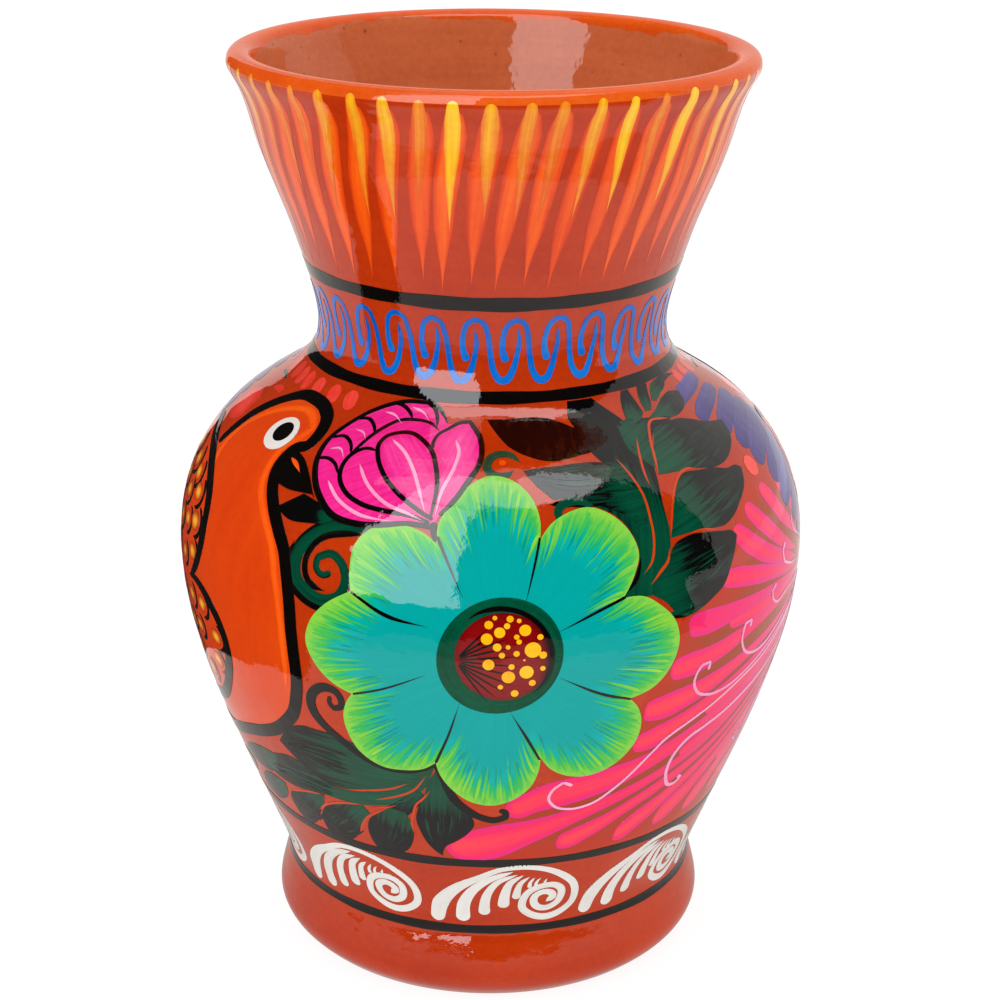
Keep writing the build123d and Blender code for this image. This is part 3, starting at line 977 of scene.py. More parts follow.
bud_ground = BUD_OUTLINE + [(-8.5, 166.8), (-5.5, 167), (-2.8, 164.5), (-2, 161.5), (-2.5, 159.5),
                            (-4.5, 156.5), (-7, 152.5), (-9.5, 149)]
bud_fills = [fill(bud_ground, 0.42, grain=35), fill(BUD_CENTRE, edge_dark(0.3, 0.62, 3), grain=130),
             fill(BUD_RIGHT + [(-12, 159.5), (-10.6, 155)], edge_dark(0.35, 0.7, 4), grain=75)]
lay("bud_petals", "pink", 6, bud_fills, TWICE)
bud_edge_widths = [1.3, 1.3, 1.5, 1.7, 1.8, 1.9, 1.8, 1.7, 1.5, 1.4, 1.4, 1.3, 1.2, 1.1, 1.1, 1.0, 0.8]
bud_lines = [stroke(BUD_OUTLINE, bud_edge_widths, end=4),
             stroke(BUD_CENTRE, [1.1] + [1.25] * 12 + [0.9, 0.6]),
             stroke(BUD_RIGHT, [0.9] + [1.4] * 5 + [1.2, 1.1, 1.0, 0.9, 0.9, 0.8]),
             stroke(BUD_LEFT, [0.9] + [1.3] * 7 + [1.1, 0.9], end=3),
             stroke(BUD_BACK, [0.8, 1.1, 1.2, 1.1, 1.0, 0.9, 0.8], start=3, end=4),
             stroke([(-10.3, 148), (-10.1, 146), (-9.6, 144)], [2.0, 1.6, 1.2])]
bud_lines += [stroke(p, [0.9, 1.1, 1.0, 0.7], start=1, end=2) for p in BUD_FOLDS]
lay("bud_lines", "black", 7, bud_lines, TWICE)
bud_lights = [stroke(p, [0.8] + [0.9] * (len(p) - 2) + [0.4], start=3, end=8) for p in BUD_LIGHTS]
lay("bud_highlights", "pale", 7.5, bud_lights, TWICE)

# ---------------------------------------------------------------- leaves and tendrils


def leaf(outline, foot, tip, foot_dark, reach=1.0):
    """A dark leaf, green at its foot and black at its tip, with streaks that run along it.
    Foot_dark is how dark it starts, and a longer reach keeps it green for longer."""
    p, radius = chart([foot, tip])
    run = p[1] - p[0]
    length = float(np.linalg.norm(run))
    heading = run / length
    own_radius = chart(outline)[1]

    def dark(x, y, depth):
        x = x / own_radius * radius
        along = ((x - p[0][0]) * heading[0] + (y - p[0][1]) * heading[1]) / length
        side = np.clip(1 - depth / 2.2, 0, 1)
        return np.clip(foot_dark + 0.75 * np.clip((along - 0.18) / (0.5 * reach), 0, 1) + 0.12 * side, 0, 1)

    return fill(outline, dark, grain=math.degrees(math.atan2(heading[1], heading[0])), corner=48)


# Each leaf's outline, foot and tip, how dark its foot is, and its reach where that isn't 1.
RIGHT_LEAVES = [
    ([(22, 165.5), (25, 164), (31.5, 164), (32.5, 159.5), (30.5, 154.5), (26.5, 157.5), (24, 160),
      (22.5, 163)], (32, 155), (23, 165), 0.5),
    ([(23, 129), (25.5, 134), (27, 139), (26.2, 144), (24, 148), (20, 150.8), (22, 154), (27, 160),
      (30.5, 163), (34, 165.5), (38, 165), (37.5, 160), (36, 155), (34.5, 149), (34, 142), (32.8, 136.8),
      (30, 131), (28.4, 128.2)], (25, 129), (34, 190), 0.18),
    ([(36.4, 154.6), (38, 158), (40.5, 160.5), (44.8, 163), (50, 163), (53.6, 162.8), (57.7, 161.7),
      (60.9, 160.5), (67.5, 159.2), (65, 156.5), (60.5, 154.2), (55.9, 152.8), (52.3, 152.6), (46.8, 153.7),
      (42, 154.2)], (34, 153), (68, 159.5), 0.1),
    ([(34, 141), (35.5, 145), (39.1, 151.5), (42.3, 153.6), (46.8, 153.3), (51.4, 152.6), (55, 151.4),
      (58.6, 151), (59.7, 150.1), (57.7, 147), (53.6, 143.7), (50.5, 141.5), (46.8, 140.2), (44.5, 140.5),
      (38.2, 141.2)], (33, 141), (61, 150), 0.1),
    ([(28.6, 128.3), (30.3, 132.5), (32.5, 136.3), (34.5, 139.4), (37.7, 140.6), (42.3, 140.1), (45.9, 139.2),
      (49, 138), (49.7, 136.9), (48.9, 135), (46.8, 130.5), (44.1, 125.5), (41.8, 123.7), (39.1, 121.9),
      (36.4, 120.8), (34.5, 120.8), (32.3, 121.3), (30.6, 121.9), (32.8, 123), (31, 126)],
     (27, 129), (49, 134), 0.12),
    ([(22.5, 170.5), (21.4, 167), (23.2, 164.4), (29.5, 162.8), (33, 163.2), (37.3, 164.2), (35.9, 166),
      (33.2, 168.3), (30.5, 170.5)],
     (38, 163), (24, 171), 0.8),
    ([(-1, 167.5), (1.3, 165.2), (5, 162.4), (8, 161.2), (13, 160), (20, 160.5), (26, 161.5), (28, 163),
      (24, 164.3), (21, 165.7), (15, 167.6), (8, 167.8)], (26, 162), (0, 167), 0.8),
    ([(7, 158.5), (11, 158.9), (15, 159), (21, 159.2), (26.5, 158.6), (30.5, 158), (30, 154), (28.5, 153),
      (24.5, 153), (18, 153.4), (12.5, 152.6), (9.5, 155.5)], (31, 156), (8, 157), 0.3),
    ([(11.5, 151.8), (15.5, 153.2), (19, 154.6), (22, 155.4), (27.5, 155.2), (31, 152), (29.5, 143),
      (26.5, 147.2), (22.5, 150), (17.5, 151.4), (14, 150.9)], (31, 152), (12, 151.8), 0.18),
    ([(37.3, 164.3), (38.5, 166.5), (40, 169), (41.5, 170.6), (44.3, 170.6), (44.8, 168), (44.6, 165.6),
      (42, 164.6)], (37, 163), (43, 173), -0.05),
    ([(45.6, 165.6), (46.5, 168), (48.4, 170.6), (53.2, 170.6), (51.6, 168.8), (50, 167), (48, 165.6)],
     (44, 164), (52, 173), -0.05),
    ([(50.6, 167.1), (54.6, 169.9), (60, 170.6), (66, 170.4), (70.5, 169.4), (64, 169.4), (58, 167.9),
      (52.6, 166.6)], (48, 166), (72, 170), 0.05),
    ([(44.6, 164.4), (48.5, 165.3), (54, 166.6), (60, 167.3), (64.5, 166.5), (62, 164.6), (57, 163.5),
      (51, 163.4)], (44, 164), (66, 166.5), 0.05),
    ([(34, 165), (38, 165.2), (44, 164.6), (52, 163.6), (50, 162.9), (44, 162.6), (40, 160.6), (36.5, 156),
      (33, 160)], (34, 158), (60, 165), 0.15),
]
LEFT_LEAVES = [
    ([(-9.5, 82.8), (-14, 80.5), (-19, 80.5), (-24, 84.5), (-28, 86.5), (-32.7, 86.7), (-36.4, 86.5),
      (-40, 84.5), (-44.8, 77.5), (-41.8, 74), (-38.6, 71), (-35, 68.5), (-30.9, 68), (-28.2, 68.4),
      (-22, 70.8), (-15.2, 75)], (-14, 78), (-46, 77.5), 0.08, 1.6),
    ([(-9.5, 82.5), (-15.5, 74.6), (-21, 71), (-28.2, 68), (-33.5, 68), (-38, 70.8), (-40.9, 72.8), (-44, 73),
      (-47.3, 71.8), (-50.9, 70), (-56, 65), (-52, 62.5), (-46, 61.6), (-40.9, 62.2), (-36.4, 63.3),
      (-30.5, 63.4), (-24.3, 64.3), (-17.5, 67.5), (-12.5, 73)], (-22, 68), (-57, 65), 0.08, 1.5),
    ([(-36.4, 62.9), (-40.9, 61.8), (-45, 60.1), (-48.2, 58.2), (-49.5, 55), (-48.2, 50), (-47, 48.2),
      (-43.5, 49.5), (-40.6, 53.5), (-39, 56.8), (-37.5, 59.3)], (-36, 63), (-48, 48), 0.15),
    ([(-26.4, 63.6), (-30.5, 62.5), (-34.5, 60.8), (-37.3, 58.5), (-39.3, 55.5), (-39.8, 52), (-39.3, 48.3),
      (-36, 48.2), (-33.2, 48.3), (-30.5, 50.8), (-28.6, 54.5), (-26.8, 58), (-25, 60.5)],
     (-25, 64), (-38, 47), 0.15),
    ([(-20.5, 64.6), (-23.6, 61.8), (-25.7, 59), (-26.8, 55), (-26.6, 51), (-25.7, 48.4), (-22.5, 48.6),
      (-20, 48.3), (-18.6, 49.2), (-16.8, 52.2), (-15.9, 56), (-15.8, 60), (-17, 64)],
     (-18, 67), (-23, 46), 0.15),
    ([(-11.6, 75), (-12.7, 70), (-14.1, 66), (-14.8, 62), (-14.3, 58), (-13.2, 54), (-11.4, 50.8),
      (-10, 49.3), (-9.3, 52.5), (-6.4, 55.5), (-4, 58.5), (-2.7, 62), (-3.2, 64.5), (-5.5, 68), (-7.7, 75),
      (-9.3, 81)], (-9, 76), (-10.5, 50), 0.18),
    ([(-9.5, 82), (-12.2, 77.5), (-14.5, 74.5), (-11.6, 70), (-14.2, 66.5), (-16.4, 63), (-21, 64.8),
      (-18, 68), (-13, 74)], (-9, 80), (-24, 52), 0.1),
    ([(-48, 71), (-53, 70.5), (-58, 69), (-63, 66), (-66, 62.5), (-60, 61), (-54, 62), (-50, 64)],
     (-48, 67), (-66, 62), 0.2),
    ([(-49.5, 60.5), (-54, 61), (-59, 59), (-62, 55), (-63, 51.5), (-57, 51), (-52, 54), (-49.8, 57.5)],
     (-48, 61), (-63, 51), 0.2),
    ([(-64, 60), (-70, 60.5), (-75, 58), (-79, 53.5), (-72, 52.5), (-66, 55.5)], (-63, 60), (-79, 53), 0.2),
]
lay("leaf_sprays", "leaf", 2.4, [leaf(*row) for row in RIGHT_LEAVES + LEFT_LEAVES], TWICE)

# Width in mm, and path, of each line of bare ground between leaves.
GAPS = [
    (0.9, [(27.3, 134), (29.1, 136.5), (30.2, 140.5), (30.8, 147), (30.9, 151.5), (30.2, 155),
           (28.4, 159.4)]),
    (0.9, [(33.2, 152.6), (33.4, 155.5), (34.5, 158.7), (36.8, 162)]),
    (1.0, [(36.4, 154.6), (38, 158), (40.5, 161.5), (44.8, 164), (48, 163.8), (51, 163.3)]),
    (1.0, [(33.9, 141), (35, 144.6), (36.8, 148.7), (39.1, 151.9), (42.3, 154), (44.5, 154.2),
           (46.8, 153.5)]),
    (0.7, [(37.7, 141), (41.4, 141), (45.9, 139.6)]),
    (1.1, [(28.4, 131), (30.5, 133.7), (32.5, 136.2), (33.2, 139)]),
    (0.6, [(47.5, 165), (51.4, 166.2), (55.9, 167.4), (60.5, 168.3), (63, 169.9)]),
    (0.9, [(-29.1, 68.2), (-23.6, 70), (-19, 72), (-15.2, 74.8)]),
    (0.9, [(-23.2, 66.8), (-19, 69), (-14.5, 72.5), (-11.6, 78)]),
    (0.8, [(-24.3, 64), (-21.4, 64.5), (-18.2, 66.5)]),
    (1.0, [(-36.4, 63.1), (-40.9, 62), (-45, 60.3), (-48.2, 58.5)]),
    (1.0, [(-26.4, 63.8), (-30.5, 62.8), (-34.5, 61), (-37.3, 59), (-39, 56.5), (-40, 53.5)]),
    (1.0, [(-20.5, 64.8), (-23.6, 62), (-26.4, 59), (-28.2, 55.5), (-29.5, 52)]),
    (0.9, [(-11.1, 73), (-12.7, 70), (-14.3, 67.5), (-15.2, 64), (-15.9, 60), (-15.5, 56)]),
]
gaps = [stroke(p, [0.35 * w] + [0.72 * w] * (len(p) - 2) + [0.35 * w], start=4, end=4) for w, p in GAPS]
lay("leaf_gaps", "gap", 2.9, gaps, TWICE)


def streaks_in(foot, tip, spread, low, high, thick):
    """Fine strokes that fan along a leaf from its foot to its tip."""
    found = []
    for _ in range(STREAK_COUNT):
        side = leaf_rng.uniform(-spread, spread)
        a, b = leaf_rng.uniform(low, low + 0.2), leaf_rng.uniform(high - 0.2, high)
        over = (-(tip[1] - foot[1]), (tip[0] - foot[0]) * 0.9)
        path = []
        for t in (a, (a + b) / 2, b):
            swell = side * math.sin(math.pi * min(1, 0.15 + t * 0.8))
            path.append((foot[0] + (tip[0] - foot[0]) * t + over[0] * swell,
                         foot[1] + (tip[1] - foot[1]) * t + over[1] * swell))
        found.append(stroke(path, [0.5 * thick, thick, 0.4 * thick], start=4, end=5))
    return found


STREAK_COUNT = 9      # black ones, and as many green ones, on a leaf
# Foot and tip of the leaf, and how far its streaks fan out.
LEAF_VEINS = [((36, 154.5), (67, 159.5), 0.13), ((35, 143), (60, 150), 0.22), ((29, 128.5), (49, 136), 0.26),
              ((-18, 76), (-45, 78), 0.18), ((-24, 66.5), (-55, 66), 0.1), ((-37, 62), (-48, 50), 0.28),
              ((-27, 62.5), (-39, 49), 0.3), ((-19, 63.5), (-23, 49), 0.3), ((-9.5, 74), (-10.5, 51), 0.2),
              ((31, 152), (12, 152), 0.12), ((31, 156), (8, 157), 0.12)]
dark_veins, green_veins = [], []
for foot, tip, spread in LEAF_VEINS:
    dark_veins += streaks_in(foot, tip, spread, 0.3, 0.95, 1.0)
    green_veins += streaks_in(foot, tip, spread * 0.8, 0.3, 0.9, 0.6)
lay("leaf_black_streaks", "black", 3.3, dark_veins, TWICE)
lay("leaf_green_streaks", "leaf", 3.7, green_veins, TWICE)

VOLUTE = [(-22, 146), (-26, 145.3), (-30, 144), (-33, 141.5), (-35, 138), (-35.7, 134), (-35, 130),
          (-32.5, 127), (-29, 125.8), (-26, 128), (-25, 132), (-26, 136), (-28.5, 138), (-31, 136.5),
          (-31, 134), (-29.5, 132.5), (-28, 133.5)]
VOLUTE_WIDTHS = [4.2, 4.2, 4.2, 4.2, 4.2, 4.2, 4.4, 4.4, 4.0, 3.2, 2.6, 2.3, 2.1, 1.9, 1.8, 1.7, 1.8]


def volute_shade(q, t):
    """Green, and darker towards one side."""
    return np.clip(0.25 + 0.5 * np.clip(-q - 0.2, 0, 1), 0, 1)


# Length in mm over which the curl comes to a point at its start, its widths, and its path.
SMALL_CURLS = [
    (3, [1.2, 1.9, 2.2, 2.3, 2.3, 2.2, 2.0, 1.3],
     [(6.6, 160), (4.6, 161.3), (1.9, 161.5), (-0.3, 160.5), (-0.6, 158.9), (1, 157.7), (3.4, 157.7),
      (5, 158.6)]),
    (2, [1.6, 2.0, 2.2, 2.2, 2.1, 1.9, 1.4],
     [(20, 150.8), (17, 152), (14.6, 151.8), (13, 150.6), (12.9, 149.3), (14, 148.4), (15.2, 149)]),
]
BEAK_LEAF = [(-29, 146), (-33.5, 148.3), (-38, 149.5), (-43.2, 145), (-39, 143.2), (-35, 143.6), (-31, 144.6)]
curls = [stroke(VOLUTE, VOLUTE_WIDTHS, shade=volute_shade)]
curls += [stroke(p, w, start=start, end=3, shade=0.2) for start, w, p in SMALL_CURLS]
curls.append(leaf(BEAK_LEAF, (-29, 146), (-43, 145), 0.12, 0.45))
lay("green_curls", "leaf", 4, curls, TWICE)
# Widths in mm, and path.
TENDRILS = [
    ([1.2, 1.5, 1.7, 1.8, 1.9, 2, 2.3, 2.6, 3, 3, 2.8, 2.6, 2.2, 2, 1.8, 1.6, 1.4, 1.2],
     [(-9.5, 82.5), (-11.8, 80.5), (-15.5, 79), (-19, 79), (-22.7, 80.5), (-25, 82.5), (-28.2, 86),
      (-30.9, 89), (-32.7, 92.5), (-33, 96), (-31.8, 99.5), (-29.5, 101.5), (-27.3, 101), (-26.4, 99),
      (-26.6, 96.5), (-28.2, 95.5), (-28.9, 97), (-28.6, 99)]),
    ([2, 2.2, 2.4, 2.5, 2.4, 2.2, 2.2, 2, 1.8, 1.4],
     [(-9.5, 82.5), (-8.6, 79), (-7.7, 75), (-6.4, 70.5), (-4.1, 67), (-1.4, 64.5), (1.4, 63.5), (3.6, 64.5),
      (3.6, 66.5), (2.3, 67)]),
]
# Lengths in mm over which the line comes to a point at each end, its widths, and its path.
FINE_LINES = [
    (3, 4, [1.0] + [1.7] * 6 + [0.8],
     [(-23, 143.6), (-27, 143), (-30.6, 141.4), (-32.6, 138.6), (-33.4, 134.5), (-32.8, 131.2), (-31, 129.2),
      (-28.8, 128.6)]),
    (4, 4, [0.8, 1.6, 1.8, 1.8, 1.6, 0.8],
     [(-36.6, 139), (-37.3, 134), (-36.4, 129.2), (-33.4, 125.5), (-29, 123.9), (-25.4, 126)]),
    (2, 3, [0.6, 0.8, 0.4], [(31, 122), (33.5, 121.2), (36, 120.6)]),
    (4, 4, [0.5, 1.2, 0.5], [(23.2, 129.4), (25.8, 133.4), (27.2, 138.4)]),
]
dark_lines = [stroke(p, w) for w, p in TENDRILS]
dark_lines += [stroke(p, w, start=start, end=end) for start, end, w, p in FINE_LINES]
lay("black_tendrils", "black", 4.5, dark_lines, TWICE)
lay("flower_seed_eye", "orange", 4, [dot(2.7, 160, 0.9, 0.4)], TWICE)

# ---------------------------------------------------------------- the bird

BIRD = [(-86, 148), (-80, 149.5), (-74, 150), (-72.5, 155), (-71, 159), (-67, 163), (-62, 165.3),
        (-55, 165.8), (-49, 165), (-45.5, 163.5), (-43.8, 161), (-44.3, 158.5), (-47, 157.2), (-48, 155),
        (-47.8, 152), (-46.5, 149), (-44, 145), (-41, 140.5), (-38.5, 136), (-37, 130), (-36, 123),
        (-35.6, 115), (-35.4, 108), (-35.5, 101), (-36.5, 95), (-38, 90), (-40.5, 86), (-44, 82), (-49, 78.5),
        (-55, 75.5), (-61, 72.5), (-68, 69.5), (-78, 69), (-86, 72), (-92, 80), (-96, 92), (-97, 105),
        (-96, 120), (-94, 134), (-90, 143)]
BIRD_LINE = BIRD[2:34]
BIRD_GLOW = [(-62.3, 125), (-62.3, 133), (-64, 138), (-66.5, 142), (-69.5, 146), (-70.5, 150), (-70, 155),
             (-68, 158.5), (-64, 161.3), (-59, 163), (-54, 163.7), (-50, 163), (-47, 161.5), (-48, 159.5),
             (-50.2, 157), (-50.5, 152), (-49, 147.5), (-45.5, 142.5), (-41.5, 136), (-39.5, 128), (-38, 118),
             (-37.8, 108), (-38, 101), (-39, 96)]
UPPER_WING = [(-91, 152), (-85, 151.5), (-80, 150), (-75, 148.3), (-71, 146), (-68, 143.5), (-65, 140),
              (-63.5, 136), (-63, 131), (-63.3, 127), (-64.5, 122), (-66.5, 118), (-69, 115.5)]
LOWER_WING = [(-70, 115), (-66, 115.8), (-63, 115), (-59.5, 112.5), (-57, 109.5), (-55.2, 105.5),
              (-54.7, 101), (-55.5, 96), (-57.5, 91), (-60, 86.5), (-64, 82), (-69, 79), (-76, 76.5),
              (-84, 76)]
# Azimuth, height, and radius in mm.
SPOTS = [(-80, 143, 3.6), (-74.5, 141.5, 3.3), (-70, 138, 3.4), (-76.5, 135.7, 3.2), (-67.5, 131.2, 3.6),
         (-72.5, 129.5, 3.2), (-67.2, 122.8, 3.2), (-72.7, 120, 3), (-78.5, 128, 3.4), (-83, 137.5, 3.4),
         (-86, 145, 3.2), (-85, 129, 3.2), (-80, 120.5, 3), (-69, 109.5, 3.2), (-63, 109.7, 3.2),
         (-66.7, 101.5, 3.2), (-58.3, 102.5, 3.3), (-60.3, 94.5, 3.3), (-66.5, 88.5, 3.4), (-72, 101, 3.2),
         (-72, 93, 3.2), (-74, 84, 3.2), (-78, 97, 3.2), (-76.5, 108.5, 3.1), (-80, 88.5, 3.2), (-84, 104, 3)]
body_fill = fill(BIRD, edge_dark(0.62, 0.42, 9), grain=80, spacing=2.4)
lay("bird_body", "bird", 2, [body_fill], TWICE)
glow_line = stroke(BIRD_GLOW, [1.2] + [2.5] * 22 + [1.2],
                   start=12, end=14, shade=lambda q, t: 0.62 - 0.2 * q ** 2)
lay("bird_glow", "orange", 2.8, [glow_line], TWICE)
wing_fills = [fill(UPPER_WING + [(-78, 113.5), (-92, 112), (-96, 130)], 0.2, grain=150, spacing=2.4),
              fill(LOWER_WING + [(-92, 84), (-95, 100), (-90, 112), (-78, 113.5)],
                   0.2, grain=150, spacing=2.4)]
lay("bird_wings", "orange", 3.6, wing_fills, TWICE)
SPOTS += [(-90, 140, 3.2), (-91, 122, 3), (-89, 113, 3), (-91, 131, 3.1), (-91, 95, 3.1), (-87, 85, 3),
          (-84, 95.5, 3), (-91, 104, 3)]
scale_lines, spot_fills = [], []
for a, z, r in SPOTS:
    scale_lines.append(stroke(oval(a, z, r + 0.9, r + 0.7, -95, 100), 1.5, start=3, end=3))
    spot_fills.append(fill(oval(a - 0.3, z, 0.92 * r, 0.78 * r),
                           lambda x, y, depth, r=r: 0.15 + 0.75 * np.clip(depth / (0.75 * r), 0, 1),
                           grain=160, spacing=0.9))
lay("wing_scale_lines", "black", 4.4, scale_lines, TWICE)
lay("wing_spots", "spot", 5, spot_fills, TWICE)
outlines = [stroke(BIRD_LINE, [2.6, 3.4] + [3.8] * 7 + [3.6, 3.4, 3.4] + [3.8] * 18 + [3, 2], end=10),
            stroke(UPPER_WING, [3.6] * 10 + [3.2, 2.6, 1.8], start=6, end=5),
            stroke(LOWER_WING, [1.4, 2, 2.8] + [3.6] * 9 + [3, 2], start=4, end=8)]
lay("bird_outline", "black", 6, outlines, TWICE)
BEAK_UPPER = [(-46.5, 157.2), (-42.6, 156), (-39, 153.4), (-35.4, 149.2), (-38.2, 151.3), (-42, 153),
              (-46.8, 154.8)]
BEAK_LOWER = [(-47.2, 155), (-43, 153.6), (-39, 152), (-36, 149.8), (-38.6, 149.6), (-42, 149.4),
              (-46.4, 150)]
beak = [fill(BEAK_UPPER, 0.45, grain=-20), fill(BEAK_LOWER, 0.45, grain=-10)]
lay("bird_beak", "black", 6, beak, TWICE)
slit = stroke([(-46, 155.4), (-43.8, 154.6), (-41.4, 153.2)], [0.9, 1.3, 0.5], start=2, end=3)
lay("bird_beak_slit", "orange", 7, [slit], TWICE)
lay("bird_eye_white", "white", 6.8, [dot(-54.5, 158.7, 5.6, 0.5)], TWICE)
lay("bird_eye_pupil", "black", 7.4, [dot(-54.3, 159, 3.3, 0.4)], TWICE)
DABS = [-85, -78, -72, -66.5, -59.5, -51, -43.5]
dabs = [stroke([(a - 1, 169.8), (a, 168.2), (a + 1.6, 166)], [3.4, 4.8, 3.2]) for a in DABS]
dabs += [stroke([(a, 169.9), (a + 1.5, 168.2), (a + 4, 166.2)], [3.2, 4.6, 3]) for a in (70, 76.5, 83)]
WIDE_DAB = [(-86, 156), (-80, 154.2), (-75.5, 156), (-76.5, 160.4), (-82, 161.6), (-87, 160)]
dabs.append(stroke([(-78, 163.3), (-75, 163.8), (-72, 163.6)], [1.6, 2.4, 1.6]))
dabs.append(fill(WIDE_DAB, edge_dark(0.2, 0.8, 4), grain=5))
lay("shoulder_dabs", "coral", 1.2, dabs, TWICE)
shoulder_line = stroke([(-87, 165.2), (-82, 165.4), (-77, 165)], [0.8, 1, 0.5], end=4, shade=0.4)
lay("shoulder_line", "leaf", 2.6, [shoulder_line], TWICE)

# ---------------------------------------------------------------- plumes of the bird on the other side


def plume(upper, lower, core):
    """A plume from its round head to its foot, pink at its edges with a coral middle near the head."""
    def shade(q, t):
        return np.clip(0.12 + core * (1 - q ** 2) * (0.95 - 0.75 * t) * np.clip(t / 0.04, 0, 1), 0, 1)

    return patch(upper, lower, shade)


SIMPLE_CORE = 0.75


def simple_plume(path, width):
    """A plume in one brush stroke."""
    def shade(q, t):
        return np.clip(0.12 + SIMPLE_CORE * (1 - q ** 2) * (0.95 - 0.7 * t), 0, 1)

    widths = [width * k for k in (0.8, 1.0, 0.95, 0.7, 0.45)][:len(path)]
    return stroke(path, widths, end=14, shade=shade)


GROUND = [(93, 152), (82, 146), (72, 146), (62, 147), (53, 144), (50, 139), (47, 131), (42, 124), (35, 121),
          (33, 112), (30.5, 104), (28, 98), (27.5, 90), (24, 81), (14, 76), (5, 71), (3, 66), (-4, 61),
          (-10, 54), (-7, 48.8), (10, 49), (30, 49.4), (50, 49.8), (70, 49.6), (90, 49), (95, 60), (97, 90),
          (96, 120)]
plume_ground = fill(GROUND, edge_dark(0, 0.4, 12), grain=30, spacing=2.6)
lay("plume_ground", "brown", 0.7, [plume_ground], TWICE)

# How coral a plume is, and its two sides.
PLUMES = [
    (0.95,
     [(-9, 53), (-7.5, 56.5), (-1, 60.5), (10, 63.5), (20, 66.7), (35, 73), (52, 83), (70, 98)],
     [(-9, 52), (-7.8, 49.5), (-3, 48), (1.4, 49), (10, 54.7), (20, 61.3), (30, 66.7), (50, 78.5),
      (70, 96.5)]),
    (0.95,
     [(3.5, 68.6), (4.5, 70.6), (7, 72.6), (10, 75), (20, 77.7), (30, 80), (40, 84.7), (55, 93), (72, 105)],
     [(3.5, 67.4), (4, 65), (6, 64), (10, 66), (15, 67.3), (25, 70.7), (35, 76), (45, 82), (58, 90),
      (72, 103.5)]),
    (1.0,
     [(15, 54.6), (15.6, 56.6), (17.5, 57.8), (25, 61.6), (35, 68), (50, 77), (70, 94.5)],
     [(15, 53.4), (15.4, 51.6), (17, 51), (22.5, 54), (30, 60), (40, 66.7), (54, 77), (70, 93)]),
    (0.9,
     [(27.5, 85.3), (28.4, 87.6), (30, 88.4), (37.5, 91.3), (50, 97), (62, 102.5), (75, 109)],
     [(27.5, 84.1), (28.2, 82.2), (30, 81.8), (40, 86.7), (50, 92), (62, 99), (75, 107.6)]),
    (0.95,
     [(28.5, 95.9), (29, 97.8), (31, 98.6), (40, 100.4), (50, 103), (62, 106.6), (75, 111)],
     [(28.5, 94.7), (28.8, 92.4), (31, 91.4), (40, 93.6), (50, 98.7), (62, 104), (75, 110)]),
    (0.85,
     [(32.8, 106.6), (33.4, 108.6), (36, 109.6), (42, 110), (50, 111.5), (62, 112.6), (76, 113.6)],
     [(32.8, 105.4), (33.4, 103.2), (36, 102.6), (45, 104.9), (55, 108.9), (65, 111), (76, 112.6)]),
    (0.5,
     [(36, 118.6), (36.6, 120), (39, 120.6), (45, 120.2), (52, 119.6), (62, 118.6), (76, 116)],
     [(36, 117.4), (36.6, 114.6), (39, 113.8), (45, 114.4), (52, 115.8), (62, 116.4), (76, 115)]),
    (1.0,
     [(28.8, 53.2), (29.4, 55.6), (31, 57.6), (40, 64.7), (52, 74), (70, 90.5)],
     [(28.8, 52.2), (29, 50.4), (31, 50), (35, 53.3), (42.5, 61), (55, 73.4), (70, 89)]),
    (0.95,
     [(39.5, 54.4), (40.5, 58), (46, 63.6), (56, 73.5), (70, 86.6)],
     [(39.5, 53.4), (40, 51.4), (42, 51.6), (46, 54.9), (56, 68), (70, 85)]),
    (0.9,
     [(49.5, 54.4), (50.6, 58.4), (56, 65.5), (64, 74.4), (74, 85)],
     [(49.5, 53.4), (50, 51.6), (52, 51.8), (60, 63.3), (68, 74.6), (75, 83.6)]),
    (0.9,
     [(59, 56.5), (60, 60), (66, 68), (76, 80)],
     [(59, 55.5), (60, 53), (63, 54.6), (70, 65.4), (77, 78.6)]),
    (0.9,
     [(68, 58), (70, 63), (76, 71), (84, 83)],
     [(68, 57), (69, 54), (73, 57.6), (80, 69), (85, 81)]),
    (0.9,
     [(78, 58), (80, 64), (85, 75), (88, 88)],
     [(78, 57), (80, 54), (84, 60), (88, 72), (89, 86)]),
    (0.9,
     [(88, 57), (89, 66), (91, 78), (91, 92)],
     [(88, 56), (92, 56), (95, 66), (95, 78), (93, 92)]),
]
plumes = [plume(upper, lower, core) for core, upper, lower in PLUMES]
# Width in mm, and path.
SIMPLE_PLUMES = [
    (5.6, [(62.2, 144.6), (64.4, 140.5), (67.3, 135), (71, 130.5), (77, 124)]),
    (5.6, [(54.6, 142.3), (57.4, 138), (60.8, 133.6), (65.5, 128.3), (74, 121.6)]),
    (6.2, [(49.2, 138.4), (52.4, 134.2), (56.8, 129.6), (62.5, 125.6), (74, 119.4)]),
    (5.6, [(44, 127.2), (48.5, 126.2), (54.5, 124.2), (62, 121.6), (74, 117.4)]),
    (4.6, [(70, 143), (72.6, 138), (75.6, 132.6), (79, 127), (83, 120)]),
    (4.6, [(77, 144.5), (78.6, 139), (80.6, 133), (82.6, 127), (85, 120)]),
    (5.0, [(46, 114.5), (54, 114.4), (62, 114.6), (70, 115), (80, 115.4)]),
    (5.0, [(56, 66.5), (62, 74), (68, 82), (75, 92), (82, 104)]),
    (5.0, [(44, 88.5), (52, 92.4), (60, 96.6), (70, 102.5), (80, 110)]),
    (4.6, [(40, 76.5), (48, 81.6), (56, 87), (66, 94.6), (78, 106)]),
    (4.6, [(66, 76), (72, 84), (77, 93), (82, 104), (85, 112)]),
    (4.4, [(78, 86), (81, 94), (84, 103), (86, 110), (87, 114)]),
    (4.4, [(86, 90), (87, 98), (88, 106), (88, 112), (88, 116)]),
]
